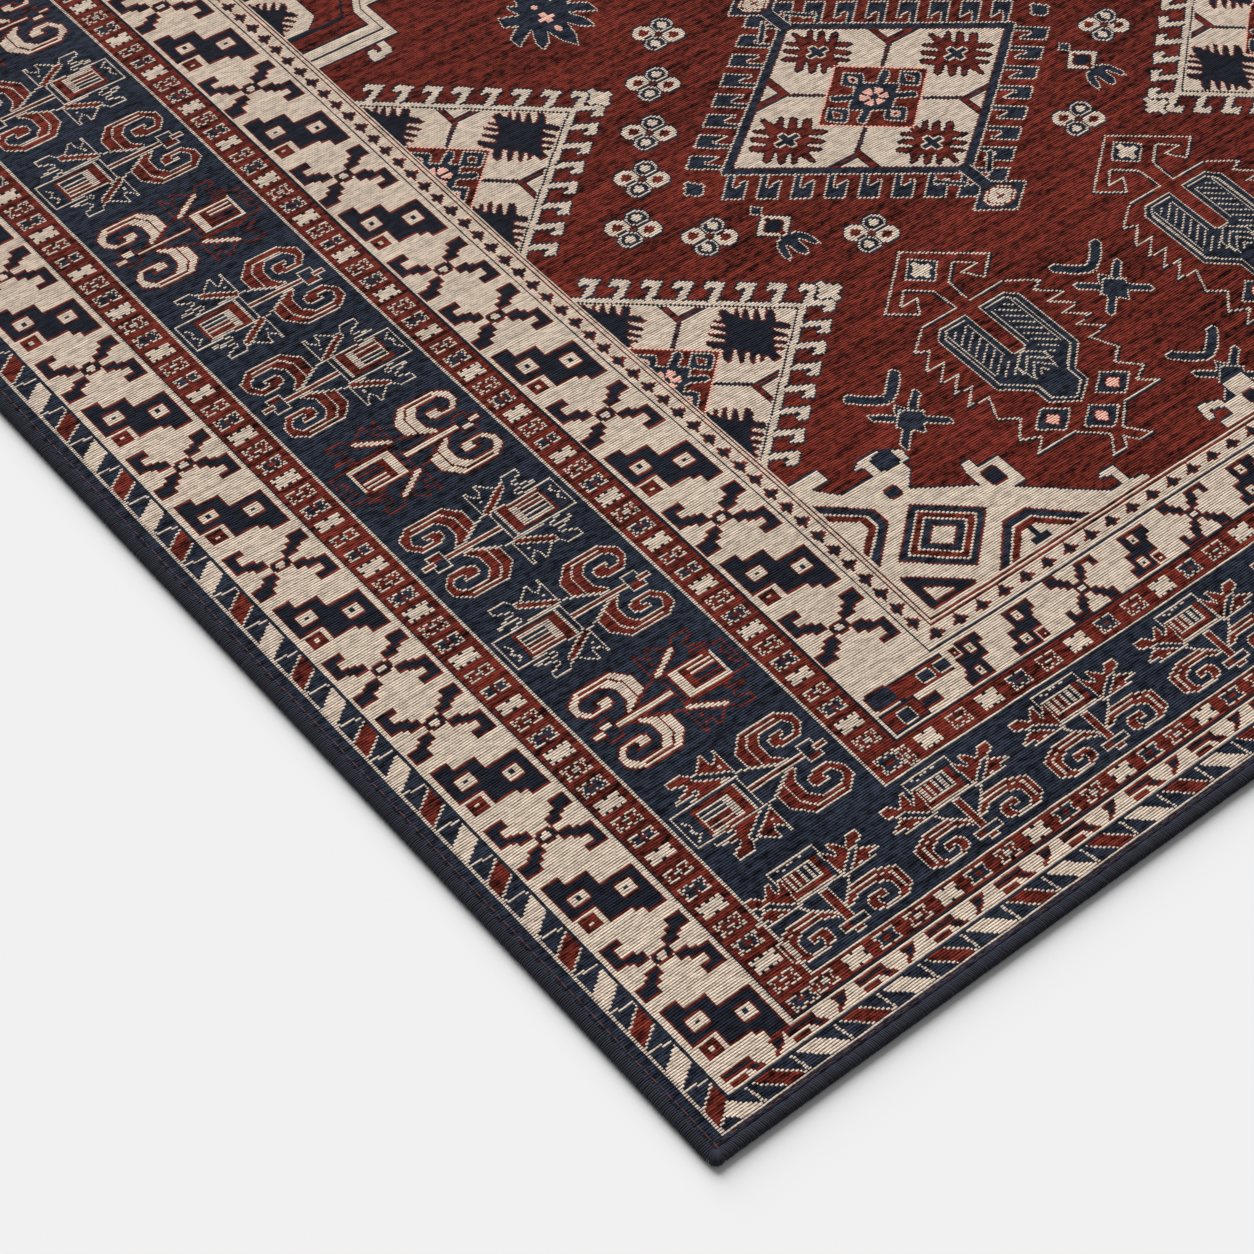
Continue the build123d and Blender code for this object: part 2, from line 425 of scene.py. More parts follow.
def cornerBracket(loom):
    side, front = bands["field"]
    patch = Patch(loom, side, front, (186, 132))
    slope = [(0, 0), (0, 126), (23, 126), (23, 115), (10, 115), (22, 101), (48, 101), (48, 110),
        (42, 112), (50, 116), (62, 116), (78, 108), (76, 100), (70, 100), (70, 92), (58, 82), (96, 58),
        (96, 68), (99, 78), (105, 78), (105, 69), (122, 69), (122, 45), (112, 45), (158, 7), (168, 7),
        (168, 16), (160, 19), (164, 22), (174, 22), (174, 7), (186, 4), (186, 0)]
    patch.motif(patch.polygon(slope), cream, navy)
    patch.weave(patch.block(54.5, 71.5, 101.5, 112) | patch.block(57, 69, 99, 114.6), navy)
    patch.motif(patch.block(103, 114, 54, 65), plum, rust)
    patch.motif(patch.block(44, 53, 82, 89), navy, rust)
    for wide, high, yarn in ((37, 30, rust), (35, 28.5, navy), (29, 23.5, cream), (27, 22, rust),
                             (21, 17, cream), (19, 15.5, navy), (12, 10, rust), (10.5, 8.5, cream)):
        patch.weave(patch.diamond(wide, high, 50, 43), yarn)
    for grow, yarn in ((0, rust), (1.6, navy), (7, cream), (8.6, rust), (14, cream)):
        arch = patch.diamond(48 - 1.2 * grow, 44 - 1.2 * grow, 96, -6)
        patch.weave(arch & (patch.v > 2) & (patch.v < 30 - grow), yarn)
        arc = patch.diamond(46 - 1.2 * grow, 38 - 1.2 * grow, -8, 76)
        patch.weave(arc & (patch.u > 1.5) & (patch.u < 30 - grow), yarn)
    patch.weave(patch.block(94, 98, 5, 16) | patch.block(89, 103, 4, 8), plum)
    patch.motif(patch.polygon([(5, 5), (5, 34), (42, 5)]), plum, rust)
    patch.motif(patch.polygon([(11, 9), (11, 21), (27, 9)]), cream, rust)


def endFigure(loom, x):
    patch = Patch(loom, x, bands["field"][1], (60, 52))
    low = patch.block(0, 34, 0, 7, fold=True) | patch.block(0, 22, 0, 16, fold=True)
    low |= patch.block(0, 9, 0, 30, fold=True) | patch.stroke([(22, 18), (34, 22), (36, 14)], 6, fold=True)
    patch.motif(low, cream, navy)
    patch.motif(patch.octagon(5, 4.5, 0, 11), plum, rust)


fieldSettings = {  # millimetres, from the side for x and from the front for y
    "medallionX": 627.0,
    "mirrorX": 629.0,  # the small figures stand mirrored about this line
    "turnY": 755,  # the rosettes are mirrored about this line too
    "repeat": 411,  # from one medallion to the next
    "farRise": 706,  # to where a string of rosettes starts again, past the far medallion
    "turnedFrom": 640,  # from here up, a rosette's mirror image is woven too
    "repeatFrom": 980,  # from here up, rosettes are woven only on free ground
    "clear": 16,  # the free ground that such a rosette needs on each side
    "strings": ((411, 545), (446, 577), (479, 609), (513, 646), (550, 684), (446, 511), (533, 452)),
    "birds": ((437, 330), (626.5, 337), (631, 238), (828, 318)),
    "diamondRows": (430, 655.5, 1262),
    "stepRow": 960,
    "medallionRows": (550, 961, halfLength),
    "feet": (486.2, 494),
    "flowers": ((497, 741), (497, 1166)),
    "shields": ((535.6, 317), (727, 317)),
    "endFigures": (628, halfWidth),
}


def weaveField(loom):
    settings = fieldSettings

    def bothSides(x):
        return x, 2 * settings["mirrorX"] - x

    for x in (bands["field"][0], halfWidth):
        for y in settings["diamondRows"]:
            creamDiamond(loom, x, y)
        stepFigure(loom, x, settings["stepRow"])
    for y in settings["medallionRows"]:
        navyMedallion(loom, settings["medallionX"], y)
    for x in bothSides(settings["feet"][0]):
        footedDiamond(loom, x, settings["feet"][1])
    for flowerX, y in settings["flowers"]:
        for x in bothSides(flowerX):
            spikyFlower(loom, x, y)
    turned = 2 * settings["turnY"]
    for stringX, y in settings["strings"]:
        for x in bothSides(stringX):
            rosette(loom, x, y)
            if y > settings["turnedFrom"]:
                rosette(loom, x, turned - y)
            # farther up the field, only where the ground between the larger figures is free
            for higher in (y + settings["repeat"], turned + settings["repeat"] - y, y + settings["farRise"]):
                if higher > settings["repeatFrom"] and loom.isFree(x, higher, settings["clear"], rust):
                    rosette(loom, x, higher)
    for x, y in settings["shields"]:
        shield(loom, x, y)
    for x, y in settings["birds"]:
        crossedBird(loom, x, y)
    for x in settings["endFigures"]:
        endFigure(loom, x)
    cornerBracket(loom)


def steppedCross(loom, x, y, turn, stretch):
    # four stepped arms round an eye; two arms end in hooks, two in blocks
    patch = Patch(loom, x, y, (36, 32), turn=turn, stretch=stretch)
    shape = patch.octagon(6.6, 4.4, cut=0.5)
    for u, v, wide, high in ((10.5, 5.7, 4.6, 3.2), (14.5, 8.6, 4.0, 3.0)):
        shape |= (abs(patch.p - u) <= wide) & (abs(patch.q - v) <= high)
    blockEnd = (abs(patch.p - 20.3) <= 5.8) & (abs(patch.q - 12) <= 4.8)
    hook = (abs(patch.p - 19.5) <= 5.4) & (abs(patch.q - 9.8) <= 2.6)
    hook |= (abs(patch.p - 22) <= 3.4) & (abs(patch.q - 15) <= 7.8)
    hook |= (abs(patch.p - 18.6) <= 6.8) & (abs(patch.q - 20.4) <= 2.9)
    shape |= np.where(patch.u * patch.v > 0, blockEnd, hook)
    patch.outlined(shape, plum, rust)
    patch.weave(patch.octagon(2.8, 2.2, cut=0.5), cream)


def steppedBlock(loom, x, y, turn, stretch):
    # a stepped slanting block with two eyes, and a small square beside it
    patch = Patch(loom, x, y, (32, 32), turn=turn, stretch=stretch)
    body = [(-24.5, 23.8), (-11.8, 23.8), (-11.8, 17.5), (3.1, 17.5), (3.1, 7.3), (24.5, 7.3),
        (24.5, -23.8), (12.2, -23.8), (12.2, -18.5), (6.9, -18.5), (6.9, -15.1), (-8.5, -15.1),
        (-8.5, -3.8), (-24.5, -3.8)]
    patch.outlined(patch.polygon(body), plum, rust)
    for u, v in ((-11.8, 6.5), (12.6, -4.1)):
        patch.motif(patch.block(u - 5.2, u + 5.2, v - 3.9, v + 3.9), cream, rust)
        patch.weave(patch.block(u - 1.6, u + 1.6, v - 1.2, v + 1.2), navy)
    patch.weave(patch.block(-22.6, -11.6, -14.4, -5.4), rust)
    patch.weave(patch.block(-18.4, -15.6, -11.0, -8.8), cream)


def guardUnit(loom, x, y, turn, stretch, kind):
    # 0 is the plain cream cross, and 1 and 2 are the dark ones with a beaded outline
    patch = Patch(loom, x, y, (16, 16), turn=turn, stretch=stretch)
    shape = (patch.p <= 8.4) & (patch.q <= 4.9)
    shape &= ~((patch.p <= 1.4) & (patch.q > 3.2)) & ~((patch.p > 6.4) & (patch.q <= 0.9))
    shape &= ~((abs(patch.p - 5.2) <= 0.6) & (patch.q > 4))
    if kind == 0:
        patch.weave((patch.p <= 8.4) & (patch.q <= 4.9), plum)
        patch.weave(shape, cream)
    else:
        patch.outlined(shape, navy if kind == 1 else rust, bead)
        patch.weave((patch.p <= 2.6) & (patch.q <= 1.0), rust if kind == 1 else bead)
        patch.weave((patch.p <= 1.2) & (patch.q <= 2.8) & (patch.q > 1.2), navy)


hornShape = [(4.5, 10.5), (4.5, 22.5), (15, 32.5), (40, 32.5), (50, 25.5), (50, 17.5), (43, 10.2),
    (31, 10.2), (25.4, 13), (25.4, 19), (28, 20.4), (37, 20.4), (37, 17.6), (32.5, 15.4), (40.6, 15.4),
    (43.8, 18.5), (43.4, 22.5), (39.5, 24.8), (25.5, 24.8), (19.6, 19.2), (20, 10), (27, 3.4), (22, 1.8)]
leafShape = [(-2.5, 11.8), (-2.5, 32.5), (-4.9, 32.5), (-5, 29), (-10.4, 25), (-11, 32.8), (-13.4, 32.8),
    (-23, 25), (-28, 28), (-29, 30.6), (-41, 30.6), (-41, 25.4), (-35, 23), (-31, 21.4), (-38, 19.4),
    (-44.5, 17), (-44.5, 15), (-28, 16), (-35, 13.2), (-41.5, 11.2), (-41.5, 9.8)]


def ramHorn(loom, x, y, turn, stretch, light, darkLeaves):
    # a stem with a pair of ram's horns and a cross at one end, and a box between leaves at the other
    patch = Patch(loom, x, y, (58, 58), turn=turn, stretch=stretch)
    fill, edge = (cream, rust) if light else (rust, bead)
    u, v, side = patch.u, patch.v, abs(patch.v)
    patch.outlined(insidePolygon(hornShape, u, side), fill, edge)
    patch.weave(nearLine([(12.6, 8), (12.6, 21.5), (18.5, 28.4), (38.5, 28.4)], 1.5, u, side), edge)
    patch.weave(nearLine([(-2.5, 13), (5, 10.4), (16, 4.6), (24, 1)], 1.4, u, side), edge)
    patch.outlined(insidePolygon([(-6, -2.4), (37, -2.4), (37, 2.4), (-6, 2.4)], u, v), fill, edge)
    patch.outlined((abs(u - 40.6) <= 5.2) & (side <= 7), navy, edge)
    patch.weave((abs(u - 40.6) <= 3.6) & (v < -1.6) & (v > -5.4), fill)
    patch.outlined((u > 43) & (u < 52.4) & (side <= 2.6), fill, edge)
    patch.outlined((u > -53.5) & (u < -5.4) & (v > -13.4) & (v < 11.4), navy, edge)
    patch.weave((u > -42) & (u < -9) & (v > -11.4) & (v < 8.6), fill)
    patch.weave((u > -11) & (u < -9.4) & (v > -11.4) & (v < 9.4), edge)
    patch.weave((u > -40.4) & (u < -17.4) & (v > -9.4) & (v < 6), edge)
    comb = (u > -39.4) & (u < -22) & (v > -8) & (v < 5) & ((side + 0.8) // 1.7 % 2 == 0)
    patch.weave(comb, navy)
    patch.weave(comb & (v < -1), fill)
    patch.weave(nearLine([(-50, 5), (-47, 1), (-50, -2), (-46, -6), (-50, -9)], 1.2, u, v), edge)
    leaf, bar = (navy, fill) if darkLeaves else (fill, navy)
    patch.outlined(insidePolygon(leafShape, u, side), leaf, edge)
    patch.outlined(nearLine([(-6, 13.4), (-24, 23.4)], 5.6, u, side), bar, edge)
    patch.weave((abs(u + 8) < 1.4) & (abs(side - 21.5) < 1.2), edge)


def trefoil(loom, x, y, turn, stretch):
    patch = Patch(loom, x, y, (10, 10), turn=turn, stretch=stretch)
    shape = patch.polygon([(0, 5.6), (2, 3.4), (3.2, 1), (5.4, -0.4), (6.8, -2.6), (2.6, -2.6), (1.8, -4.6),
                           (0, -4.6)], fold=True)
    patch.outlined(shape, plum, rust)


poleCells = ((0, 0.24, rust), (0.24, 0.51, navy), (0.51, 0.74, cream), (0.74, 1, navy))  # shares of a repeat


def barberPole(loom, outer, inner):
    # slanting cells, which lean the other way along the front
    x, y = np.meshgrid(loom.x, loom.y)
    inwardX, inwardY = x - outer[0], y - outer[1]
    onSide = (inwardX > 0) & (x < inner[0]) & (inwardY > inwardX)
    onFront = (inwardY > 0) & (y < inner[1]) & (inwardY <= inwardX)
    strips = ((onSide, (y - 0.67 * x - 2.3) / 58.7, inwardX / (inner[0] - outer[0]), 58.7),
              (onFront, (x + 1.15 * (y - 18) - 54.5) / 61.5, (inner[1] - y) / (inner[1] - outer[1]), 61.5))
    for strip, place, depth, repeat in strips:
        share = place % 1.0
        thin = 0.9 / repeat
        for start, stop, yarn in poleCells:
            loom.chart[strip & (share >= start) & (share < stop)] = yarn
            if yarn == navy:
                diagonal = start + (stop - start) * (0.9 - 0.8 * depth)
                loom.chart[strip & (abs(share - diagonal) < thin)] = bead
        loom.chart[strip & ((share < 2 * thin) | (abs(share - poleCells[0][1]) < thin))] = bead


def frontSteps(loom, x, y):
    # the outer cream band is narrow along the front, and its motifs are squashed flat
    patch = Patch(loom, x, y, (40, 6))
    bar = patch.block(-10, 10, 0.6, 5)
    foot = patch.block(-9, 2.4, -5.2, -1.8)
    slant = patch.polygon([(2, 1.4), (9, 1.4), (16.5, -5.6), (9.5, -5.6)])
    leaf = patch.polygon([(23.5, 4.4), (34, 4.4), (30, -1), (22, -5.6), (19.5, -5.6), (24.5, -0.6)])
    for shape in (bar, foot, slant, leaf):
        patch.outlined(shape, plum, rust)


def spread(start, stop, step, half=False):
    # evenly from the start, so that the middle line falls on a place, or half way between two
    rest = 0.5 if half else 0.0
    count = max(1, round((stop - start) / step - rest))
    gap = (stop - start) / (count + rest)
    return [start + i * gap for i in range(count + 1)]


borderGrounds = {"plain": navy, "pole": navy, "outerCream": cream, "outerGuard": rust, "main": navy,
                 "innerGuard": rust, "innerCream": cream, "dotted": cream}

borderRows = {
    # up the side, then across the front: the line a row stands on, its first figure and the step to the next
    "outerCream": ((61.6, 62.6, 49.3), (33.3, 141, 50.5)),
    "outerGuard": ((102.6, 46.5, 14.2), (47.7, 119.8, 22.9)),
    "main": ((175.4, 163.3, 77.97), (87.2, 157.7, 100.9)),
    "innerGuard": ((246.6, 150, 14.2), (130.3, 275.5, 23.3)),
    "innerCream": ((288.8, 221, 52.2), (157.4, 376, 48.5)),
    "dotted": ((326, 198, 13.8), (184.4, 331.5, 18.4)),
}

thinLines = (((15.8, 11.2), bead, 2), ((31.2, 25.2), navy, 2), ((89.8, 39.2), bead, 1),
             ((90.8, 40.0), plum, 1), ((116.4, 54.4), bead, 2), ((232.8, 119.0), bead, 2),
             ((258.2, 138.2), plum, 2), ((318.4, 176.4), navy, 1), ((332.4, 189.8), rust, 1),
             ((335.4, 192.8), rust, 1))


def figures(name, half=False):
    # the two rows of a band, each as numbered places
    (sideLine, sideStart, sideStep), (frontLine, frontStart, frontStep) = borderRows[name]
    side = [(sideLine, y) for y in spread(sideStart, halfLength, sideStep, half)]
    front = [(x, frontLine) for x in spread(frontStart, halfWidth, frontStep, half)]
    return [[(number, x, y) for number, (x, y) in enumerate(row)] for row in (side, front)]


def weaveBorders(loom):
    order = list(bands)
    for name, after in zip(order, order[1:]):
        loom.ring(bands[name], bands[after], borderGrounds[name])
    barberPole(loom, bands["pole"], bands["outerCream"])

    side, front = figures("outerCream")
    for number, x, y in side:
        make = (steppedBlock, steppedCross)[(number + (number > 5)) % 2]
        make(loom, x, y, 0, (1.0, 1.0))
    for x in (47, 91, *(x for _, x, _ in front)):
        frontSteps(loom, x, borderRows["outerCream"][1][0])

    side, front = figures("innerCream")
    for number, x, y in side:
        make = (steppedCross, steppedBlock)[(number + (number > 6)) % 2]
        make(loom, x, y, 0, (1.03, 1.08))
    for number, x, y in front:
        if number % 2:
            steppedCross(loom, x, y + 0.6, 1, (0.66, 0.98))
        else:
            steppedBlock(loom, x, y, 1, (0.64, 0.68))
    cornerKnot(loom)

    side, front = figures("outerGuard")
    for number, x, y in side:
        guardUnit(loom, x, y, 0, (1.0, 0.94), (number + 1) % 3)
    for number, x, y in front:
        guardUnit(loom, x, y, 0, (0.9, 1.04), (number + 2) % 3)
    side, front = figures("innerGuard")
    for number, x, y in side:
        guardUnit(loom, x, y, 0, (0.98, 0.94), (number + 2) % 3)
    guardUnit(loom, 246.4, 131, 0, (0.98, 1.3), 1)
    guardUnit(loom, 257.6, 128.6, 1, (0.9, 0.7), 2)
    for number, x, y in front:
        guardUnit(loom, x, y, 0, (0.86, 1.16), (number + 1) % 3 if number else 0)

    side, front = figures("main", half=True)
    for number, x, y in side:
        ramHorn(loom, x, y, 2 * (number % 2), (1.0, 1.04), number % 3 == 1, number > 0)
    for _, x, y in front:
        ramHorn(loom, x, y, 3, (0.55, 1.36), False, False)

    side, front = figures("dotted")
    for _, x, y in side:
        trefoil(loom, x, y, 3, (0.92, 1.0))
    for _, x, y in front:
        trefoil(loom, x, y, 0, (1.0, 0.92))
    for start, yarn, cols in thinLines:
        loom.line(start, yarn, cols)


def cornerKnot(loom):
    # the squared knot that turns the inner band's corner
    patch = Patch(loom, 274.6, 150, (52, 28))
    patch.outlined(patch.block(-12, 14.6, -8.6, 8.6), rust, plum)
    patch.outlined(patch.block(6, 48, 8.2, 22.6), rust, plum)
    patch.weave(patch.block(10, 46, 8.8, 21.2), rust)
    patch.outlined(patch.octagon(9.6, 7.6, -1.6, 17, cut=0.6), navy, rust)
    patch.weave(patch.octagon(4, 3, -1.6, 17, cut=0.6), plum)
    for u, v in ((2, -0.6), (30.5, 15), (43.4, 15)):
        patch.motif(patch.block(u - 4.4, u + 4.4, v - 3.4, v + 3.4), navy, bead)
    patch.outlined(patch.block(15, 28, -4, 3.6), plum, rust)
    steppedBlock(loom, 336, 157, 3, (0.62, 0.62))


def weaveChart():
    loom = Loom()
    weaveField(loom)
    weaveBorders(loom)
    return loom.whole()


chart = weaveChart()
print("chart woven,", chart.shape[1], "by", chart.shape[0], "stitches")


# the woven face, cut from the chart into flat pieces that share their edge points

clothSettings = {
    "tile": (38, 24),  # stitches between the cuts that let the cloth wave
    "wave": 0.9,  # millimetres of rise over the floor's unevenness
    "ripples": (310, 230),  # millimetres from one rise to the next
    "fieldParts": 6,  # an even number of pieces up the field
    "hem": (12, 70),  # millimetres from the edge where the cloth lies flat, and over which the waves start
    "drift": 2.2,  # millimetres that the bands wander, as hand-beaten rows do
    "driftLength": 520.0,
    "fray": 0.16,  # millimetres that each stitch is out of place
    "seed": 7,
}


def waves(x, y, lengthA, lengthB, turn):
    # smooth unevenness between -1 and 1, from a few long ripples
    return (np.sin(2 * np.pi * (x * math.cos(turn) + y * math.sin(turn)) / lengthA + 1.3)
            + np.sin(2 * np.pi * (y * math.cos(turn) - x * math.sin(turn)) / lengthB + 0.4)
            + 0.6 * np.sin(2 * np.pi * (x + y) / (0.61 * lengthA) + 2.1)) / 2.6


def clothPlace(col, row, shape):
    rows, cols = shape
    return (faceLow[0] + (faceHigh[0] - faceLow[0]) * col / cols,
            faceLow[1] + (faceHigh[1] - faceLow[1]) * row / rows)


def insideShare(x, y):
    # 0 along the edge, 1 well inside it, and how far inside in millimetres
    fromEdge = np.minimum(np.minimum(x - faceLow[0], faceHigh[0] - x),
                          np.minimum(y - faceLow[1], faceHigh[1] - y)) * mm
    ease = np.clip((fromEdge - clothSettings["hem"][0]) / clothSettings["hem"][1], 0, 1)
    return ease * ease * (3 - 2 * ease), fromEdge


def clothRise(x, y):
    rise = 0.5 + 0.5 * waves(x * mm, y * mm + 300, *clothSettings["ripples"], 0.7)
    return insideShare(x, y)[0] * clothSettings["wave"] / mm * rise


def clothNormals(col, row, shape):
    # from the slope of the cloth itself, so that the shading runs on from piece to piece
    x, y = clothPlace(col, row, shape)
    step = 1 / mm
    slopeX = (clothRise(x + step, y) - clothRise(x - step, y)) / (2 * step)
    slopeY = (clothRise(x, y + step) - clothRise(x, y - step)) / (2 * step)
    normals = np.stack([-slopeX, -slopeY, np.ones(len(x))], axis=1)
    return normals / np.linalg.norm(normals, axis=1)[:, None]


def surfacePoints(col, row, shape, frayTable):
    # where each corner of the chart lies on the rug, in metres
    x0, y0 = clothPlace(col, row, shape)
    ease, fromEdge = insideShare(x0, y0)
    ripple = clothSettings["driftLength"]
    drift = clothSettings["drift"] / mm
    fray = frayTable[:, row, col] * (fromEdge > 2)
    x = x0 + ease * drift * waves(x0 * mm, y0 * mm, 1.7 * ripple, ripple, 0.2) + fray[0]
    y = y0 + ease * drift * waves(x0 * mm + 900, y0 * mm, ripple, 1.4 * ripple, 1.1) + 0.4 * fray[1]
    return np.stack([x, y, faceHigh[2] + clothRise(x0, y0)], axis=1)


def mergeStitches(chart, rowCuts, colCuts):
    # boxes of one yarn: runs along each row, joined up where the next row has the same run
    rows, cols = chart.shape
    edge = np.ones((rows, cols + 1), bool)
    edge[:, 1:-1] = chart[:, 1:] != chart[:, :-1]
    edge[:, colCuts] = True
    row, col = np.nonzero(edge)
    starts = col < cols
    runRow, runLow = row[starts], col[starts]
    runHigh = col[1:][starts[:-1]]
    yarn = chart[runRow, runLow]
    order = np.lexsort((runRow, runHigh, runLow))
    runRow, runLow, runHigh, yarn = runRow[order], runLow[order], runHigh[order], yarn[order]
    follows = np.zeros(len(order), bool)
    follows[1:] = ((runLow[1:] == runLow[:-1]) & (runHigh[1:] == runHigh[:-1]) & (yarn[1:] == yarn[:-1])
                   & (runRow[1:] == runRow[:-1] + 1) & ~np.isin(runRow[1:], rowCuts))
    first = np.flatnonzero(~follows)
    last = np.append(first[1:], len(order)) - 1
    return runRow[first], runRow[last] + 1, runLow[first], runHigh[first], yarn[first]


def boxSides(low, high, left, right, shape):
    # each box's outline as chart corners, taking in every corner of its neighbours
    rows, cols = shape
    marked = np.zeros((rows + 1, cols + 1), bool)
    for r in (low, high):
        for c in (left, right):
            marked[r, c] = True
    across = np.flatnonzero(marked)
    upward = np.flatnonzero(marked.T)
    box = np.arange(len(low))
    sides = ((across, low * (cols + 1) + left, low * (cols + 1) + right, False),
             (upward, right * (rows + 1) + low, right * (rows + 1) + high, False),
             (across, high * (cols + 1) + left, high * (cols + 1) + right, True),
             (upward, left * (rows + 1) + low, left * (rows + 1) + high, True))
    owners, ranks, corners = [], [], []
    for side, (keys, start, stop, backwards) in enumerate(sides):
        begin, end = np.searchsorted(keys, start), np.searchsorted(keys, stop)
        count = end - begin
        owner = np.repeat(box, count)
        step = np.arange(count.sum()) - np.repeat(np.cumsum(count) - count, count)
        place = np.repeat(end, count) - step if backwards else np.repeat(begin, count) + step
        key = keys[place]
        if keys is upward:
            key = key % (rows + 1) * (cols + 1) + key // (rows + 1)
        owners.append(owner)
        ranks.append(step + side * (rows + cols))
        corners.append(key)
    owner, rank, corner = (np.concatenate(part) for part in (owners, ranks, corners))
    order = np.lexsort((rank, owner))
    return owner[order], corner[order]


def meshFrom(name, points, loops, counts, slots, uv, materials, rounded, normals=None):
    # rounded says which faces are shaded as one smooth surface; the others are flat
    mesh = bpy.data.meshes.new(name)
    mesh.vertices.add(len(points))
    mesh.vertices.foreach_set("co", np.asarray(points, np.float32).ravel())
    mesh.loops.add(len(loops))
    mesh.loops.foreach_set("vertex_index", np.asarray(loops, np.int32))
    mesh.polygons.add(len(counts))
    starts = np.cumsum(counts) - counts
    mesh.polygons.foreach_set("loop_start", starts.astype(np.int32))
    for material in materials:
        mesh.materials.append(material)
    mesh.polygons.foreach_set("material_index", np.asarray(slots, np.int32))
    layer = mesh.uv_layers.new(name="stitches")
    layer.data.foreach_set("uv", np.asarray(uv, np.float32).ravel())
    flat = mesh.attributes.new("sharp_face", "BOOLEAN", "FACE")
    flat.data.foreach_set("value", ~np.asarray(rounded))
    mesh.update(calc_edges=True)
    mesh.validate()
    if normals is not None:
        mesh.normals_split_custom_set(normals)
    return mesh


def addPiece(name, mesh):
    piece = bpy.data.objects.new(name, mesh)
    bpy.context.scene.collection.objects.link(piece)
    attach(piece, "root")
    return piece


def facePieces(chart, materials):
    # the cloth is parted along its own bands, so no piece grows too heavy
    rows, cols = chart.shape
    sideCut, frontCut = (round((place - faceInset) / step)
                         for place, step in zip(bands["innerGuard"], loomSettings["stitch"]))
    parts = clothSettings["fieldParts"]
    fieldRows = [frontCut + round(i * (rows - 2 * frontCut) / parts) for i in range(parts + 1)]
    places = {"faceBorderFront": (0, frontCut, 0, cols), "faceBorderBack": (rows - frontCut, rows, 0, cols)}
    for number, (low, high) in enumerate(zip(fieldRows, fieldRows[1:])):
        places[f"faceField{number + 1}"] = (low, high, sideCut, cols - sideCut)
    sideRows = fieldRows[::parts // 2]
    for number, (low, high) in enumerate(zip(sideRows, sideRows[1:])):
        places[f"faceBorderLeft{number + 1}"] = (low, high, 0, sideCut)
        places[f"faceBorderRight{number + 1}"] = (low, high, cols - sideCut, cols)
    tile = clothSettings["tile"]
    rowCuts = np.unique([*range(0, rows, tile[1]), *fieldRows, rows])
    colCuts = np.unique([*range(0, cols, tile[0]), sideCut, cols - sideCut, cols])
    low, high, left, right, yarn = mergeStitches(chart, rowCuts, colCuts)
    owner, corner = boxSides(low, high, left, right, chart.shape)
    counts = np.bincount(owner, minlength=len(low))
    random = np.random.default_rng(clothSettings["seed"])
    frayTable = random.uniform(-1, 1, (2, rows + 1, cols + 1)) * clothSettings["fray"] / mm
    bottom = faceLow[2]
    pieces = []
    for name, (rowLow, rowHigh, colLow, colHigh) in places.items():
        mine = (low >= rowLow) & (high <= rowHigh) & (left >= colLow) & (right <= colHigh)
        mineLoops = np.repeat(mine, counts)
        keys, loops = np.unique(corner[mineLoops], return_inverse=True)
        keyRow, keyCol = keys // (cols + 1), keys % (cols + 1)
        points = surfacePoints(keyCol, keyRow, chart.shape, frayTable)
        polygonCounts = list(counts[mine])
        slots = list(yarn[mine])
        loopList = [loops]
        uv = [np.stack([keyCol[loops], keyRow[loops]], axis=1)]
        # the cut edges and the bonded underside, with corners only at the tile cuts
        cutRows = rowCuts[(rowCuts >= rowLow) & (rowCuts <= rowHigh)]
        cutCols = colCuts[(colCuts >= colLow) & (colCuts <= colHigh)]
        index = {key: i for i, key in enumerate(keys.tolist())}
        under = {}
        underPoints = []
        for r in cutRows:
            for c in cutCols:
                top = points[index[int(r * (cols + 1) + c)]]
                under[r, c] = len(points) + len(underPoints)
                underPoints.append((top[0], top[1], bottom))
        extra = []
        for r0, r1 in zip(cutRows, cutRows[1:]):
            for c0, c1 in zip(cutCols, cutCols[1:]):
                extra.append([under[r0, c0], under[r1, c0], under[r1, c1], under[r0, c1]])
        walls = ([(rowLow, c0, rowLow, c1, False) for c0, c1 in zip(cutCols, cutCols[1:])]
                 + [(rowHigh, c0, rowHigh, c1, True) for c0, c1 in zip(cutCols, cutCols[1:])]
                 + [(r0, colLow, r1, colLow, True) for r0, r1 in zip(cutRows, cutRows[1:])]
                 + [(r0, colHigh, r1, colHigh, False) for r0, r1 in zip(cutRows, cutRows[1:])])
        for r0, c0, r1, c1, backwards in walls:
            along = np.flatnonzero((keyRow >= r0) & (keyRow <= r1) & (keyCol >= c0) & (keyCol <= c1))
            wall = [under[r0, c0], under[r1, c1], *along[::-1]]
            extra.append(wall[::-1] if backwards else wall)
        polygonCounts += [len(face) for face in extra]
        slots += [navy] * len(extra)
        flat = np.concatenate([np.asarray(face) for face in extra])
        allPoints = np.concatenate([points, np.asarray(underPoints)])
        loopList.append(flat)
        uv.append(allPoints[flat][:, :2] * mm / loomSettings["stitch"])
        rounded = np.arange(len(polygonCounts)) < len(polygonCounts) - len(extra)
        topNormals = clothNormals(keyCol, keyRow, chart.shape)[loops]
        normals = np.concatenate([topNormals, np.zeros((len(flat), 3))])
        mesh = meshFrom(name, allPoints, np.concatenate(loopList), np.asarray(polygonCounts), slots,
                        np.concatenate(uv), materials, rounded, normals)
        piece = addPiece(name, mesh)
        size = ((colHigh - colLow) * (faceHigh[0] - faceLow[0]) / cols,
                (rowHigh - rowLow) * (faceHigh[1] - faceLow[1]) / rows)
        print(name, sum(count - 2 for count in polygonCounts), "triangles")
        pieces.append((piece, size))
    return pieces


# a node tree's sockets, wrapped so that sums on values read as sums


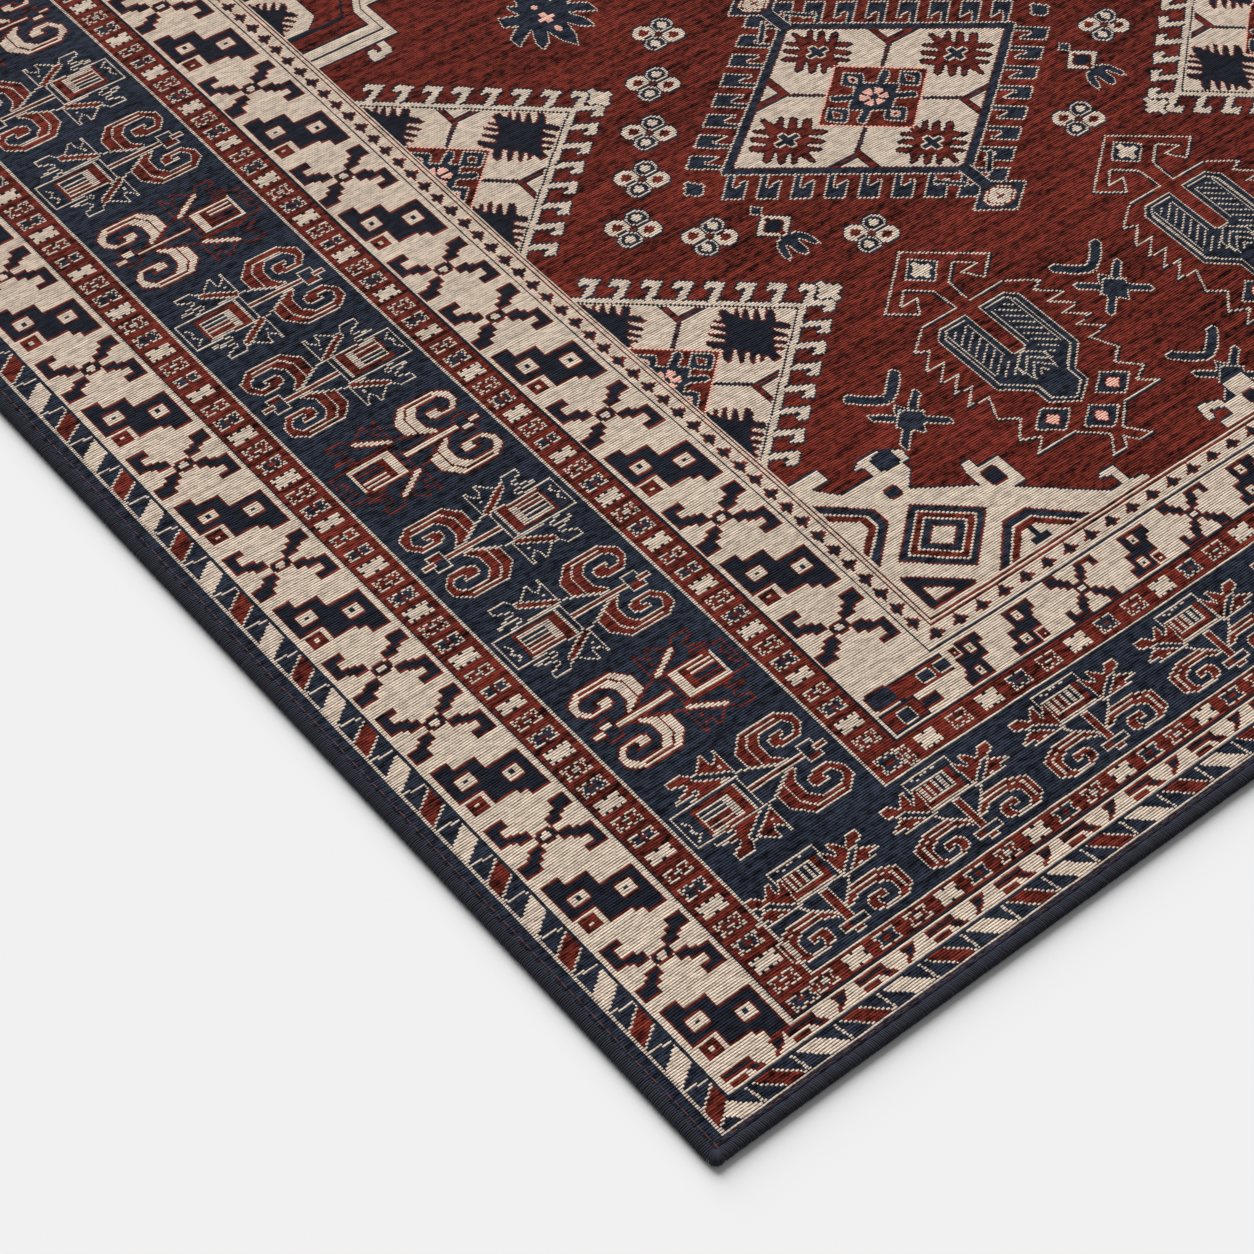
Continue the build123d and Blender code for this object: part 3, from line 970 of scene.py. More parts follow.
class Wire:
    def __init__(self, bench, socket):
        self.bench = bench
        self.socket = socket

    def sum(self, operation, *values):
        return self.bench.node("ShaderNodeMath", {"operation": operation}, dict(enumerate(values)))

    def __add__(self, other):
        return self.sum("ADD", self, other)

    def __sub__(self, other):
        return self.sum("SUBTRACT", self, other)

    def __rsub__(self, other):
        return self.sum("SUBTRACT", other, self)

    def __mul__(self, other):
        return self.sum("MULTIPLY", self, other)

    def __truediv__(self, other):
        return self.sum("DIVIDE", self, other)

    def __rtruediv__(self, other):
        return self.sum("DIVIDE", other, self)

    def __pow__(self, other):
        return self.sum("POWER", self, other)

    def __neg__(self):
        return self.sum("MULTIPLY", self, -1.0)

    __radd__ = __add__
    __rmul__ = __mul__


class Bench:
    def __init__(self, tree):
        self.tree = tree

    def node(self, kind, settings=None, values=None, out=0):
        # settings come first, because they decide which sockets a node has
        made = self.tree.nodes.new(kind)
        for name, value in (settings or {}).items():
            setattr(made, name, value)
        for name, value in (values or {}).items():
            if isinstance(value, Wire):
                self.tree.links.new(value.socket, made.inputs[name])
            else:
                made.inputs[name].default_value = value
        return Wire(self, made.outputs[out]) if len(made.outputs) else made

    def noise(self, vector, scale, detail=2.0, rough=0.5):
        values = {"Vector": vector, "Scale": scale, "Detail": detail, "Roughness": rough}
        return self.node("ShaderNodeTexNoise", {}, values)

    def vector(self, x, y, z=0.0):
        return self.node("ShaderNodeCombineXYZ", {}, {0: x, 1: y, 2: z})

    def parts(self, vector):
        split = self.node("ShaderNodeSeparateXYZ", {}, {0: vector})
        return [Wire(self, socket) for socket in split.socket.node.outputs]

    def ease(self, value, low, high, start=0.0, stop=1.0):
        values = {"Value": value, "From Min": low, "From Max": high, "To Min": start, "To Max": stop}
        return self.node("ShaderNodeMapRange", {"interpolation_type": "SMOOTHSTEP"}, values)

    def blend(self, share, first, second, how="MIX"):
        settings = {"data_type": "RGBA", "blend_type": how, "clamp_factor": True}
        return self.node("ShaderNodeMix", settings, {0: share, 6: first, 7: second}, out=2)

    def tint(self, colour, strength):
        # the colour times a plain value
        grey = self.node("ShaderNodeCombineColor", {}, {0: strength, 1: strength, 2: strength})
        return self.blend(1.0, colour, grey, "MULTIPLY")


def rgba(colour):
    return (*colour, 1.0)


def newMaterial(name):
    material = bpy.data.materials.new(name)
    material.use_nodes = True
    material.node_tree.nodes.clear()
    return material, Bench(material.node_tree)


def finishMaterial(bench, colour, height, depth, roughness, fixed):
    # fixed holds the numbers that are the same all over
    bump = bench.node("ShaderNodeBump", {}, {"Strength": 1.0, "Distance": depth / mm, "Height": height})
    shader = bench.node("ShaderNodeBsdfPrincipled", {}, {"Base Color": colour, "Roughness": roughness,
                                                         "Normal": bump, **fixed})
    bench.node("ShaderNodeOutputMaterial", {}, {"Surface": shader})


yarnFinish = {
    # yarn colours and the painted shade in the grooves between ribs, how the dye varies from row to row, how
    # deeply painted shade darkens where the crinkles sink, and the heights up a rib between which the
    # painted groove shade fades into the yarn
    "rust": {"yarn": (0.142, 0.0212, 0.0134), "grooveShade": (0.018, 0.0030, 0.0026), "lots": 0.95,
             "crinkle": 0.90, "gap": (0.08, 0.74)},
    "navy": {"yarn": (0.0228, 0.0282, 0.0445), "grooveShade": (0.0026, 0.0033, 0.0052), "lots": 0.55,
             "crinkle": 0.85, "gap": (0.08, 0.74)},
    "cream": {"yarn": (0.690, 0.560, 0.450), "grooveShade": (0.245, 0.165, 0.112), "lots": 0.14,
              "crinkle": 0.22, "gap": (0.02, 0.52)},
    "plum": {"yarn": (0.0145, 0.0165, 0.0265), "grooveShade": (0.0030, 0.0034, 0.0054), "lots": 0.35,
             "crinkle": 0.42, "gap": (0.06, 0.66)},
    "blush": {"yarn": (0.900, 0.480, 0.380), "grooveShade": (0.300, 0.120, 0.090), "lots": 0.12,
              "crinkle": 0.15, "gap": (0.02, 0.55)},
    # bead is cream with a darker, wider groove: deeper painted shade between the narrow outline stitches,
    # where the dark neighbouring yarn also shows
    "bead": {"yarn": (0.680, 0.560, 0.460), "grooveShade": (0.050, 0.034, 0.030), "lots": 0.10,
             "crinkle": 0.16, "gap": (0.26, 0.98)},
}

ribSettings = {
    "depth": 0.75,  # millimetres
    "pucker": 1.3,  # soft rises, in rib depths
    "roughness": 0.92,
    "gloss": 0.06,
    "sheen": 0.04,
}


def yarnMaterial(name):
    # ribs run across the rug, and each row's stitches start half a stitch along from the row before
    finish = yarnFinish[name]
    material, bench = newMaterial(name + "Yarn")
    place = bench.node("ShaderNodeUVMap", {"uv_map": "stitches"})
    u, v, _ = bench.parts(place)
    sway = bench.noise(bench.vector(u * 0.03, v * 0.16), 1.0, 1.0)
    swayed = v + (sway - 0.5) * 0.6
    row = swayed.sum("FLOOR", swayed)
    across = swayed - row
    crown = 1 - (across * 2 - 1) ** 2
    wrap = u * 0.42 + row * 0.5
    along = wrap - wrap.sum("FLOOR", wrap)
    crimp = 1 - (along * 2 - 1) ** 2
    rowTone = bench.node("ShaderNodeTexWhiteNoise", {"noise_dimensions": "1D"}, {"W": row})
    slub = bench.noise(bench.vector(u * 0.11, v * 0.95), 1.0, 2.0, 0.6)
    fibre = bench.noise(bench.vector(u * 0.85, v * 5.5), 1.0, 2.0, 0.6)
    crinkle = bench.ease(bench.noise(bench.vector(u * 0.15, v * 0.52), 1.0, 2.0, 0.62), 0.34, 0.62)
    streaks = bench.ease(bench.noise(bench.vector(u * 0.016, v * 0.34), 1.0, 3.0, 0.62), 0.34, 0.66)
    clouds = bench.noise(bench.vector(u * 0.008, v * 0.022), 1.0, 2.0)
    pucker = bench.noise(bench.vector(u * 0.05, v * 0.10), 1.0, 2.0, 0.5)
    # random tone from the dye, slubs and fibres, with painted shade where the crinkles sink and each
    # stitch's crown a little lighter (crimp), painted light where the bump rises
    tone = (0.70 + slub * 0.30 + fibre * 0.30 + (rowTone - 0.5) * 0.16 + crimp * 0.08
            + (crinkle - 0.6) * finish["crinkle"] + (streaks - 0.5) * finish["lots"]
            + (clouds - 0.5) * finish["lots"] * 1.2)
    low, high = finish["gap"]
    # the height up a rib where the painted groove shade gives way to the yarn, stirred by fibre, crimp and
    # crinkles
    wearAndGrooveShade = crown + (fibre - 0.5) * 0.4 + (crimp - 0.5) * 0.2 + (crinkle - 0.6) * 0.3
    grooveShade = bench.ease(wearAndGrooveShade, low, high)
    colour = bench.tint(bench.blend(grooveShade, rgba(finish["grooveShade"]), rgba(finish["yarn"])), tone)
    height = (crown ** 0.6 + crimp * 0.3 + slub * 0.5 + fibre * 0.25 + crinkle * 0.5
              + pucker * ribSettings["pucker"])
    roughness = ribSettings["roughness"] + (fibre - 0.5) * 0.1
    fuzz = rgba([min(1.0, 2.2 * part) for part in finish["yarn"]])
    finishMaterial(bench, colour, height, ribSettings["depth"], roughness,
                   {"Specular IOR Level": ribSettings["gloss"], "Sheen Weight": ribSettings["sheen"],
                    "Sheen Roughness": 0.5, "Sheen Tint": fuzz})
    return material


yarns = [yarnMaterial(name) for name in yarnNames]
for piece, size in facePieces(chart, yarns):
    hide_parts("woven_face")
print("face woven")


# the serged edge: one wrap of yarn after another round the layers' rim

sergingSettings = {
    "pitch": 1.25,  # millimetres from wrap to wrap
    "wide": 8.0,
    "high": 5.9,
    "yarn": (1.15, 1.44),  # how thick a wrap is, and how wide along the rim
    "square": 2.7,  # 2 is a plain oval, more is squarer
    "slant": 8.0,  # degrees
    "jitter": 1.8,
    "stretch": (0.985, 1.02),
    "points": 10,
    "fan": 11,  # wraps round a corner
    "cornerRound": 5.0,
    "seed": 11,
}


def addInput(tree, name, kind, value=None):
    socket = tree.interface.new_socket(name, in_out="INPUT", socket_type=kind)
    if value is not None:
        socket.default_value = value
    return socket.identifier


def newGeometryTree(name, sizes):
    # sizes are the tree's named inputs, and the values are in metres or degrees
    tree = bpy.data.node_groups.new(name, "GeometryNodeTree")
    tree.interface.new_socket("Geometry", in_out="OUTPUT", socket_type="NodeSocketGeometry")
    addInput(tree, "Geometry", "NodeSocketGeometry")
    identifiers = {"Material": addInput(tree, "Material", "NodeSocketMaterial")}
    for key, value in sizes.items():
        kind = "NodeSocketInt" if isinstance(value, int) else "NodeSocketFloat"
        identifiers[key] = addInput(tree, key, kind, value)
    bench = Bench(tree)
    start = bench.node("NodeGroupInput")
    inputs = {socket.name: Wire(bench, socket) for socket in start.socket.node.outputs if socket.name}
    return tree, bench, inputs, identifiers


def endGeometryTree(bench, geometry, material):
    real = bench.node("GeometryNodeRealizeInstances", {}, {"Geometry": geometry})
    real = bench.node("GeometryNodeSetShadeSmooth", {}, {"Geometry": real})
    dressed = bench.node("GeometryNodeSetMaterial", {}, {"Geometry": real, "Material": material})
    bench.node("NodeGroupOutput", {}, {"Geometry": dressed})


def named(bench, name):
    return bench.node("GeometryNodeInputNamedAttribute", {"data_type": "FLOAT"}, {"Name": name})


def between(bench, low, high, seed):
    # a random number for each wrap or stitch
    inputs = {2: low, 3: high, "Seed": seed}  # the node has a pair of ends for each kind of number
    return bench.node("FunctionNodeRandomValue", {"data_type": "FLOAT"}, inputs, 1)


def keepValue(bench, geometry, name, value, domain="INSTANCE"):
    return bench.node("GeometryNodeStoreNamedAttribute", {"data_type": "FLOAT", "domain": domain},
                      {"Geometry": geometry, "Name": name, "Value": value})


def sergingTree():
    sizes = {"Wide": sergingSettings["wide"] / mm, "High": sergingSettings["high"] / mm,
             "Yarn thick": sergingSettings["yarn"][0] / mm, "Yarn wide": sergingSettings["yarn"][1] / mm,
             "Square": sergingSettings["square"], "Slant": sergingSettings["slant"],
             "Jitter": sergingSettings["jitter"], "Points": sergingSettings["points"],
             "Seed": sergingSettings["seed"]}
    tree, bench, inputs, identifiers = newGeometryTree("sergingWraps", sizes)
    circle = bench.node("GeometryNodeCurvePrimitiveCircle", {"mode": "RADIUS"},
                        {"Resolution": inputs["Points"], "Radius": 1.0})
    x, y, _ = bench.parts(bench.node("GeometryNodeInputPosition"))
    power = 2 / inputs["Square"]
    ovalX = x.sum("SIGN", x) * x.sum("ABSOLUTE", x) ** power
    ovalY = y.sum("SIGN", y) * y.sum("ABSOLUTE", y) ** power
    halfWide = (inputs["Wide"] - inputs["Yarn thick"]) / 2
    halfHigh = (inputs["High"] - inputs["Yarn thick"]) / 2
    place = bench.vector(inputs["Wide"] / 2 + ovalX * halfWide, ovalY * halfHigh)
    ring = bench.node("GeometryNodeSetPosition", {}, {"Geometry": circle, "Position": place})
    strand = bench.node("GeometryNodeCurvePrimitiveCircle", {"mode": "RADIUS"},
                        {"Resolution": 4, "Radius": 0.5})
    # crown is 1 on a strand's outer top and 0 at its sides, which the yarn's colour uses to paint shade on
    # the sides
    outward = bench.parts(bench.node("GeometryNodeInputPosition"))[0]
    strand = keepValue(bench, strand, "crown", outward.sum("ABSOLUTE", outward) * 2, "POINT")
    flat = bench.vector(inputs["Yarn thick"], inputs["Yarn wide"], 1.0)
    strand = bench.node("GeometryNodeTransform", {}, {"Geometry": strand, "Scale": flat})
    wrap = bench.node("GeometryNodeCurveToMesh", {}, {"Curve": ring, "Profile Curve": strand})
    turn, reach = named(bench, "turn"), named(bench, "reach")
    jitter = inputs["Jitter"] * math.radians(1)
    lean = between(bench, -jitter, jitter, inputs["Seed"])
    skew = between(bench, -jitter, jitter, inputs["Seed"] + 1)
    longer = between(bench, *sergingSettings["stretch"], inputs["Seed"] + 2)
    angle = bench.vector(math.pi / 2 + lean, 0.0, turn + inputs["Slant"] * math.radians(1) + skew)
    wraps = bench.node("GeometryNodeInstanceOnPoints", {},
                       {"Points": inputs["Geometry"], "Instance": wrap, "Rotation": angle,
                        "Scale": bench.vector(reach * longer, 1.0, 1.0)})
    tone = between(bench, 0.0, 1.0, inputs["Seed"] + 3)
    endGeometryTree(bench, keepValue(bench, wraps, "tone", tone), inputs["Material"])
    return tree, identifiers


def pointRail(name, places, turns, reaches):
    mesh = bpy.data.meshes.new(name)
    mesh.vertices.add(len(places))
    mesh.vertices.foreach_set("co", np.asarray(places, np.float32).ravel())
    for key, values in (("turn", turns), ("reach", reaches)):
        layer = mesh.attributes.new(key, "FLOAT", "POINT")
        layer.data.foreach_set("value", np.asarray(values, np.float32))
    return mesh


def grow(name, rail, tree, settings, slot):
    # runs the tree on the rail once and keeps the result as a plain mesh
    holder = bpy.data.objects.new(name + "Rail", rail)
    bpy.context.scene.collection.objects.link(holder)
    modifier = holder.modifiers.new("grow", "NODES")
    modifier.node_group = tree
    for identifier, value in settings.items():
        modifier[identifier] = value
    graph = bpy.context.evaluated_depsgraph_get()
    graph.update()
    mesh = bpy.data.meshes.new_from_object(holder.evaluated_get(graph))
    mesh.name = name
    bpy.data.objects.remove(holder)
    piece = addPiece(name, mesh)
    print(name, sum(len(face.vertices) - 2 for face in mesh.polygons), "triangles")
    return piece


twistSettings = {
    # yarn colours on the plies and between them, the darker one painted shade in the twist, the ply and the
    # bump in millimetres, the gloss, and how bright painted shade leaves a strand's sides, where 0 leaves
    # them as its top
    "sergingYarn": {"light": (0.030, 0.031, 0.056), "dark": (0.0095, 0.010, 0.020),
                    "ply": 0.7, "depth": 0.12, "shine": 0.2, "sides": 0.12},
    "needleThread": {"light": (0.230, 0.062, 0.035), "dark": (0.090, 0.024, 0.016),
                     "ply": 0.35, "depth": 0.04, "shine": 0.25, "sides": 0},
    "bobbinThread": {"light": (0.045, 0.040, 0.048), "dark": (0.020, 0.018, 0.022),
                     "ply": 0.35, "depth": 0.04, "shine": 0.25, "sides": 0},
    "fillerCotton": {"light": (0.60, 0.53, 0.42), "dark": (0.30, 0.25, 0.18),
                     "ply": 1.6, "depth": 0.2, "shine": 0.25, "sides": 0},
}


def twistMaterial(name):
    # fine slanting plies and a little fuzz, and each strand has its own tone
    slot = twistSettings[name]
    material, bench = newMaterial(name)
    place = bench.node("ShaderNodeTexCoord", {}, {}, "Object")
    x, y, z = bench.parts(place)
    plies = (x + y + z * 1.4) * (2 * math.pi / slot["ply"] * mm)
    plies = plies.sum("SINE", plies) * 0.5 + 0.5
    fuzz = bench.noise(place, 2600.0, 3.0, 0.6)
    wearAndGrooveShade = bench.noise(place, 60.0, 3.0, 0.6)
    own = bench.node("ShaderNodeAttribute", {"attribute_name": "tone"}, {}, "Fac")
    # each strand's own tone, fuzz and random wear, and the plies a little lighter: painted light on the
    # twist's crests
    tone = 0.58 + own * 0.60 + plies * 0.14 + (fuzz - 0.5) * 0.5 + (wearAndGrooveShade - 0.5) * 0.45
    # painted shade: a strand's sides darker than its top
    if slot["sides"]:
        crown = bench.node("ShaderNodeAttribute", {"attribute_name": "crown"}, {}, "Fac")
        tone = tone * (slot["sides"] + (1 - slot["sides"]) * bench.ease(crown, 0.15, 0.85))
    # darker between the plies than on them: painted shade in the twist's grooves
    base = bench.blend(bench.ease(plies + (fuzz - 0.5), 0.1, 0.8), rgba(slot["dark"]), rgba(slot["light"]))
    height = plies * 0.5 + fuzz
    roughness = 0.78 + (fuzz - 0.5) * 0.2
    finishMaterial(bench, bench.tint(base, tone), height, slot["depth"], roughness,
                   {"Specular IOR Level": slot["shine"], "Sheen Weight": 0.1, "Sheen Roughness": 0.5})
    return material


def sergingPieces():
    tree, identifiers = sergingTree()
    material = twistMaterial("sergingYarn")
    wide, pitch = sergingSettings["wide"], sergingSettings["pitch"]
    middleHeight = sergingSettings["high"] / 2 / mm
    left, right = outerLow[0] + wide / mm, outerHigh[0] - wide / mm
    front, back = outerLow[1] + wide / mm, outerHigh[1] - wide / mm
    sides = {"front": ((left, front), (right, front), -90), "right": ((right, front), (right, back), 0),
             "back": ((right, back), (left, back), 90), "left": ((left, back), (left, front), 180)}
    made = []
    for number, (side, (start, stop, turn)) in enumerate(sides.items()):
        length = math.dist(start, stop)
        count = round(length * mm / pitch)
        share = (np.arange(count) + 0.5)[:, None] / count
        places = np.asarray(start) * (1 - share) + np.asarray(stop) * share
        places = np.column_stack([places, np.full(count, middleHeight)])
        rail = pointRail(side, places, np.full(count, math.radians(turn)), np.ones(count))
        settings = {identifiers["Material"]: material,
                    identifiers["Seed"]: sergingSettings["seed"] + 10 * number}
        piece = grow(f"serging{side.title()}", rail, tree, settings, "serging_yarn")
        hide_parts(f"serging_{side}")
        made.append(piece)
    corners = {"front_right": ((right, front), -90), "back_right": ((right, back), 0),
               "back_left": ((left, back), 90), "front_left": ((left, front), 180)}
    rounding = sergingSettings["cornerRound"]
    middle = (wide - rounding) * math.sqrt(2)
    for number, (corner, (pivot, turn)) in enumerate(corners.items()):
        share = (np.arange(sergingSettings["fan"]) + 0.5) / sergingSettings["fan"]
        angle = np.radians(90 * share)
        off = angle - math.pi / 4
        # the straight rim as far as the rounding, and then the rounding itself
        straight = wide / np.maximum(np.cos(angle), np.sin(angle))
        curved = middle * np.cos(off) + np.sqrt(rounding ** 2 - (middle * np.sin(off)) ** 2)
        reach = np.minimum(straight, curved) / wide
        places = np.tile([*pivot, middleHeight], (len(share), 1))
        rail = pointRail(corner, places, math.radians(turn) + angle, reach)
        settings = {identifiers["Material"]: material,
                    identifiers["Seed"]: sergingSettings["seed"] + 50 + number}
        sideName = "".join(word.title() for word in corner.split("_"))
        piece = grow(f"sergingCorner{sideName}", rail, tree, settings, "serging_yarn")
        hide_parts(f"corner_serging_{corner}")
        made.append(piece)
    return made


sergingMade = sergingPieces()
print("edge serged")


# the lockstitch that holds the serging to the face

stitchSettings = {
    "pitch": 6.0,  # millimetres from stitch to stitch
    "length": 5.7,
    "wide": 0.55,
    "thick": 0.36,
    "wander": 0.18,
    "twist": 0.05,  # radians
    "stretch": (0.8, 1.08),
    "seed": 23,
}


def stitchTree():
    sizes = {"Pitch": stitchSettings["pitch"] / mm, "Length": stitchSettings["length"] / mm,
             "Wide": stitchSettings["wide"] / mm, "Thick": stitchSettings["thick"] / mm,
             "Wander": stitchSettings["wander"] / mm, "Seed": stitchSettings["seed"]}
    tree, bench, inputs, identifiers = newGeometryTree("lockstitch", sizes)
    curve = bench.node("GeometryNodeMeshToCurve", {}, {"Mesh": inputs["Geometry"]})
    points = bench.node("GeometryNodeCurveToPoints", {"mode": "LENGTH"},
                        {"Curve": curve, "Length": inputs["Pitch"]})
    tangent = Wire(bench, points.socket.node.outputs["Tangent"])
    wander = inputs["Wander"]
    shift = bench.vector(between(bench, -wander, wander, inputs["Seed"]),
                         between(bench, -wander, wander, inputs["Seed"] + 1))
    points = bench.node("GeometryNodeSetPosition", {}, {"Geometry": points, "Offset": shift})
    stitch = bench.node("GeometryNodeMeshUVSphere", {}, {"Segments": 6, "Rings": 5, "Radius": 0.5})
    size = bench.vector(inputs["Thick"], inputs["Wide"], inputs["Length"])
    stitch = bench.node("GeometryNodeTransform", {}, {"Geometry": stitch, "Scale": size})
    stitch = bench.node("GeometryNodeTransform", {},
                        {"Geometry": stitch, "Rotation": (0.0, math.pi / 2, 0.0)})
    facing = bench.node("FunctionNodeAlignRotationToVector", {"axis": "X"}, {"Vector": tangent})
    most = stitchSettings["twist"]
    twist = bench.vector(0.0, 0.0, between(bench, -most, most, inputs["Seed"] + 2))
    facing = bench.node("FunctionNodeRotateRotation", {}, {"Rotation": facing, "Rotate By": twist})
    longer = between(bench, *stitchSettings["stretch"], inputs["Seed"] + 3)
    stitches = bench.node("GeometryNodeInstanceOnPoints", {},
                          {"Points": points, "Instance": stitch, "Rotation": facing,
                           "Scale": bench.vector(longer, 1.0, 1.0)})
    tone = between(bench, 0.0, 1.0, inputs["Seed"] + 4)
    endGeometryTree(bench, keepValue(bench, stitches, "tone", tone), inputs["Material"])
    return tree, identifiers


def stitchPieces():
    tree, identifiers = stitchTree()
    made = []
    for number, thread in enumerate(("needle", "bobbin")):
        material = twistMaterial(thread + "Thread")
        for order, side in enumerate(("front", "back", "left", "right")):
            node = f"{thread}_thread_{side}"
            low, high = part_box(node)
            centre = (low + high) / 2
            if side in ("front", "back"):
                ends = ((low[0], centre[1], centre[2]), (high[0], centre[1], centre[2]))
            else:
                ends = ((centre[0], low[1], centre[2]), (centre[0], high[1], centre[2]))
            rail = bpy.data.meshes.new(node)
            rail.from_pydata(ends, [(0, 1)], [])
            settings = {identifiers["Material"]: material,
                        identifiers["Seed"]: stitchSettings["seed"] + 10 * number + 100 * order}
            piece = grow(f"{thread}Stitches{side.title()}", rail, tree, settings, f"{thread}_thread")
            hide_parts(node)
            made.append(piece)
    return made


stitchesMade = stitchPieces()
print("lockstitch sewn")


# the cotton backing, let up round its rim so that the serging can pass under it

backingSettings = {
    "tile": 0.04,  # metres
    "rebate": 6.0,  # millimetres in from the cloth's edge
    "lip": 0.9,
    "yarnPitch": 1.25,
}


def backingPiece():
    low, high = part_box("backing_cloth")
    step = backingSettings["rebate"] / mm
    lip = backingSettings["lip"] / mm

    def marks(start, stop):
        inner = np.linspace(start + step, stop - step, round((stop - start) / backingSettings["tile"]) + 1)
        return np.concatenate([[start], inner, [stop]])

    xs, ys = marks(low[0], high[0]), marks(low[1], high[1])
    cols, rows = len(xs), len(ys)
    gridX, gridY = np.meshgrid(xs, ys)
    top = np.stack([gridX, gridY, np.full_like(gridX, high[2])], axis=-1)
    lowest = np.full_like(gridX, low[2])
    lowest[[0, -1]] = lip
    lowest[:, [0, -1]] = lip
    under = np.stack([gridX, gridY, lowest], axis=-1)
    points = np.concatenate([top.reshape(-1, 3), under.reshape(-1, 3)])
    # the step up is a wall of its own, from the lip down to the floor side
    index = np.arange(rows * cols).reshape(rows, cols)
    innerRing = np.zeros((rows, cols), bool)
    innerRing[1:-1, 1:-1] = True
    innerRing[2:-2, 2:-2] = False
    stepIndex = {}
    stepPoints = []
    for r, c in np.argwhere(innerRing):
        stepIndex[r, c] = len(points) + len(stepPoints)
        stepPoints.append((xs[c], ys[r], lip))
    faces = []
    for r in range(rows - 1):
        for c in range(cols - 1):
            a, b, d, e = (r, c), (r, c + 1), (r + 1, c + 1), (r + 1, c)
            faces.append([index[k] for k in (a, b, d, e)])
            rim = r in (0, rows - 2) or c in (0, cols - 2)
            corners = [stepIndex.get(k, rows * cols + index[k]) if rim else rows * cols + index[k]
                       for k in (a, e, d, b)]
            faces.append(corners)
    offset = rows * cols

    def sides(inset):  # the grid's corners along a ring, taken in pairs
        lastRow, lastCol = rows - 1 - inset, cols - 1 - inset
        ring = ([(inset, c) for c in range(inset, lastCol)] + [(r, lastCol) for r in range(inset, lastRow)]
                + [(lastRow, c) for c in range(lastCol, inset, -1)]
                + [(r, inset) for r in range(lastRow, inset, -1)])
        return zip(ring, ring[1:] + ring[:1])

    for a, b in sides(0):
        faces.append([offset + index[a], offset + index[b], index[b], index[a]])
    for a, b in sides(1):
        faces.append([offset + index[a], offset + index[b], stepIndex[b], stepIndex[a]])
    allPoints = np.concatenate([points, np.asarray(stepPoints)])
    flat = np.concatenate([np.asarray(face) for face in faces])
    uv = allPoints[flat][:, :2] * mm / backingSettings["yarnPitch"]
    material = backingMaterial()
    none = np.zeros(len(faces), bool)
    mesh = meshFrom("backingCloth", allPoints, flat, np.full(len(faces), 4), none, uv, [material], none)
    return addPiece("backingCloth", mesh), (high[0] - low[0], high[1] - low[1])


def plainWeave(u, v):
    # plain weave: the crown of whichever yarn lies on top
    cellU, cellV = u.sum("FLOOR", u), v.sum("FLOOR", v)
    inU, inV = (u - cellU) * 2 - 1, (v - cellV) * 2 - 1
    odd = (cellU + cellV).sum("MODULO", cellU + cellV, 2.0)
    odd = odd.sum("ABSOLUTE", odd)
    over = 1 - inU ** 2 * 0.9 - inV ** 4 * 0.35
    beside = 1 - inV ** 2 * 0.9 - inU ** 4 * 0.35
    return odd * over + (1 - odd) * beside


def backingMaterial():
    material, bench = newMaterial("backingCotton")
    u, v, _ = bench.parts(bench.node("ShaderNodeUVMap", {"uv_map": "stitches"}))
    bend = bench.noise(bench.vector(u * 0.05, v * 0.05), 1.0, 2.0)
    crown = plainWeave(u + bend, v + bend * 0.6)
    fibre = bench.noise(bench.vector(u * 3.0, v * 3.0), 1.0, 3.0, 0.6)
    wearAndGrooveShade = bench.noise(bench.vector(u * 0.02, v * 0.02), 1.0, 3.0)
    # darker between the yarn crowns: painted shade in the weave's gaps
    base = bench.blend(bench.ease(crown, 0.15, 0.8), rgba((0.20, 0.15, 0.105)), rgba((0.56, 0.47, 0.36)))
    colour = bench.tint(base, 0.78 + fibre * 0.28 + wearAndGrooveShade * 0.16)
    finishMaterial(bench, colour, crown + fibre * 0.4, 0.3, 0.9 + (fibre - 0.5) * 0.1,
                   {"Specular IOR Level": 0.2, "Sheen Weight": 0.08})
    return material


backing, backingSize = backingPiece()
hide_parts("backing_cloth")
print("backing laid")


# the two inner parts that stay as they are, under the face and inside the serging


def latexMaterial():
    material, bench = newMaterial("latexCoat")
    place = bench.node("ShaderNodeTexCoord", {}, {}, "Object")
    bubbles = bench.noise(place, 240.0, 3.0, 0.6)
    smears = bench.noise(place, 9.0, 3.0)
    colour = bench.blend(smears, rgba((0.56, 0.50, 0.38)), rgba((0.70, 0.65, 0.52)))
    colour = bench.tint(colour, 0.85 + bubbles * 0.3)
    roughness = 0.42 + (bubbles - 0.5) * 0.3
    finishMaterial(bench, colour, bubbles, 0.15, roughness, {"Specular IOR Level": 0.4})
    return material


def dressNode(node, material):
    # a CAD node keeps its shape, and only its finish changes
    shown = bpy.data.objects[node]
    if not shown.material_slots:
        shown.data.materials.append(material)
    for place in shown.material_slots:
        place.material = material


dressNode("latex_bond_coat", latexMaterial())
dressNode("edge_filler_cord", twistMaterial("fillerCotton"))


# a plain pale floor, a soft sky and one broad soft light from behind

roomSettings = {
    "floor": 0.885,
    "reach": 30.0,  # metres to the floor's edge
    "drop": 0.0003,  # metres that the floor lies below the rug
    "sky": 0.24,
    "backdrop": 0.9,  # how bright the sky looks behind the floor
    "light": 4.35,
    "lightSpread": 56.0,  # degrees across
    "lightHeading": 20.0,  # degrees from the rug's length towards its left side
    "lightHeight": 33.0,
}


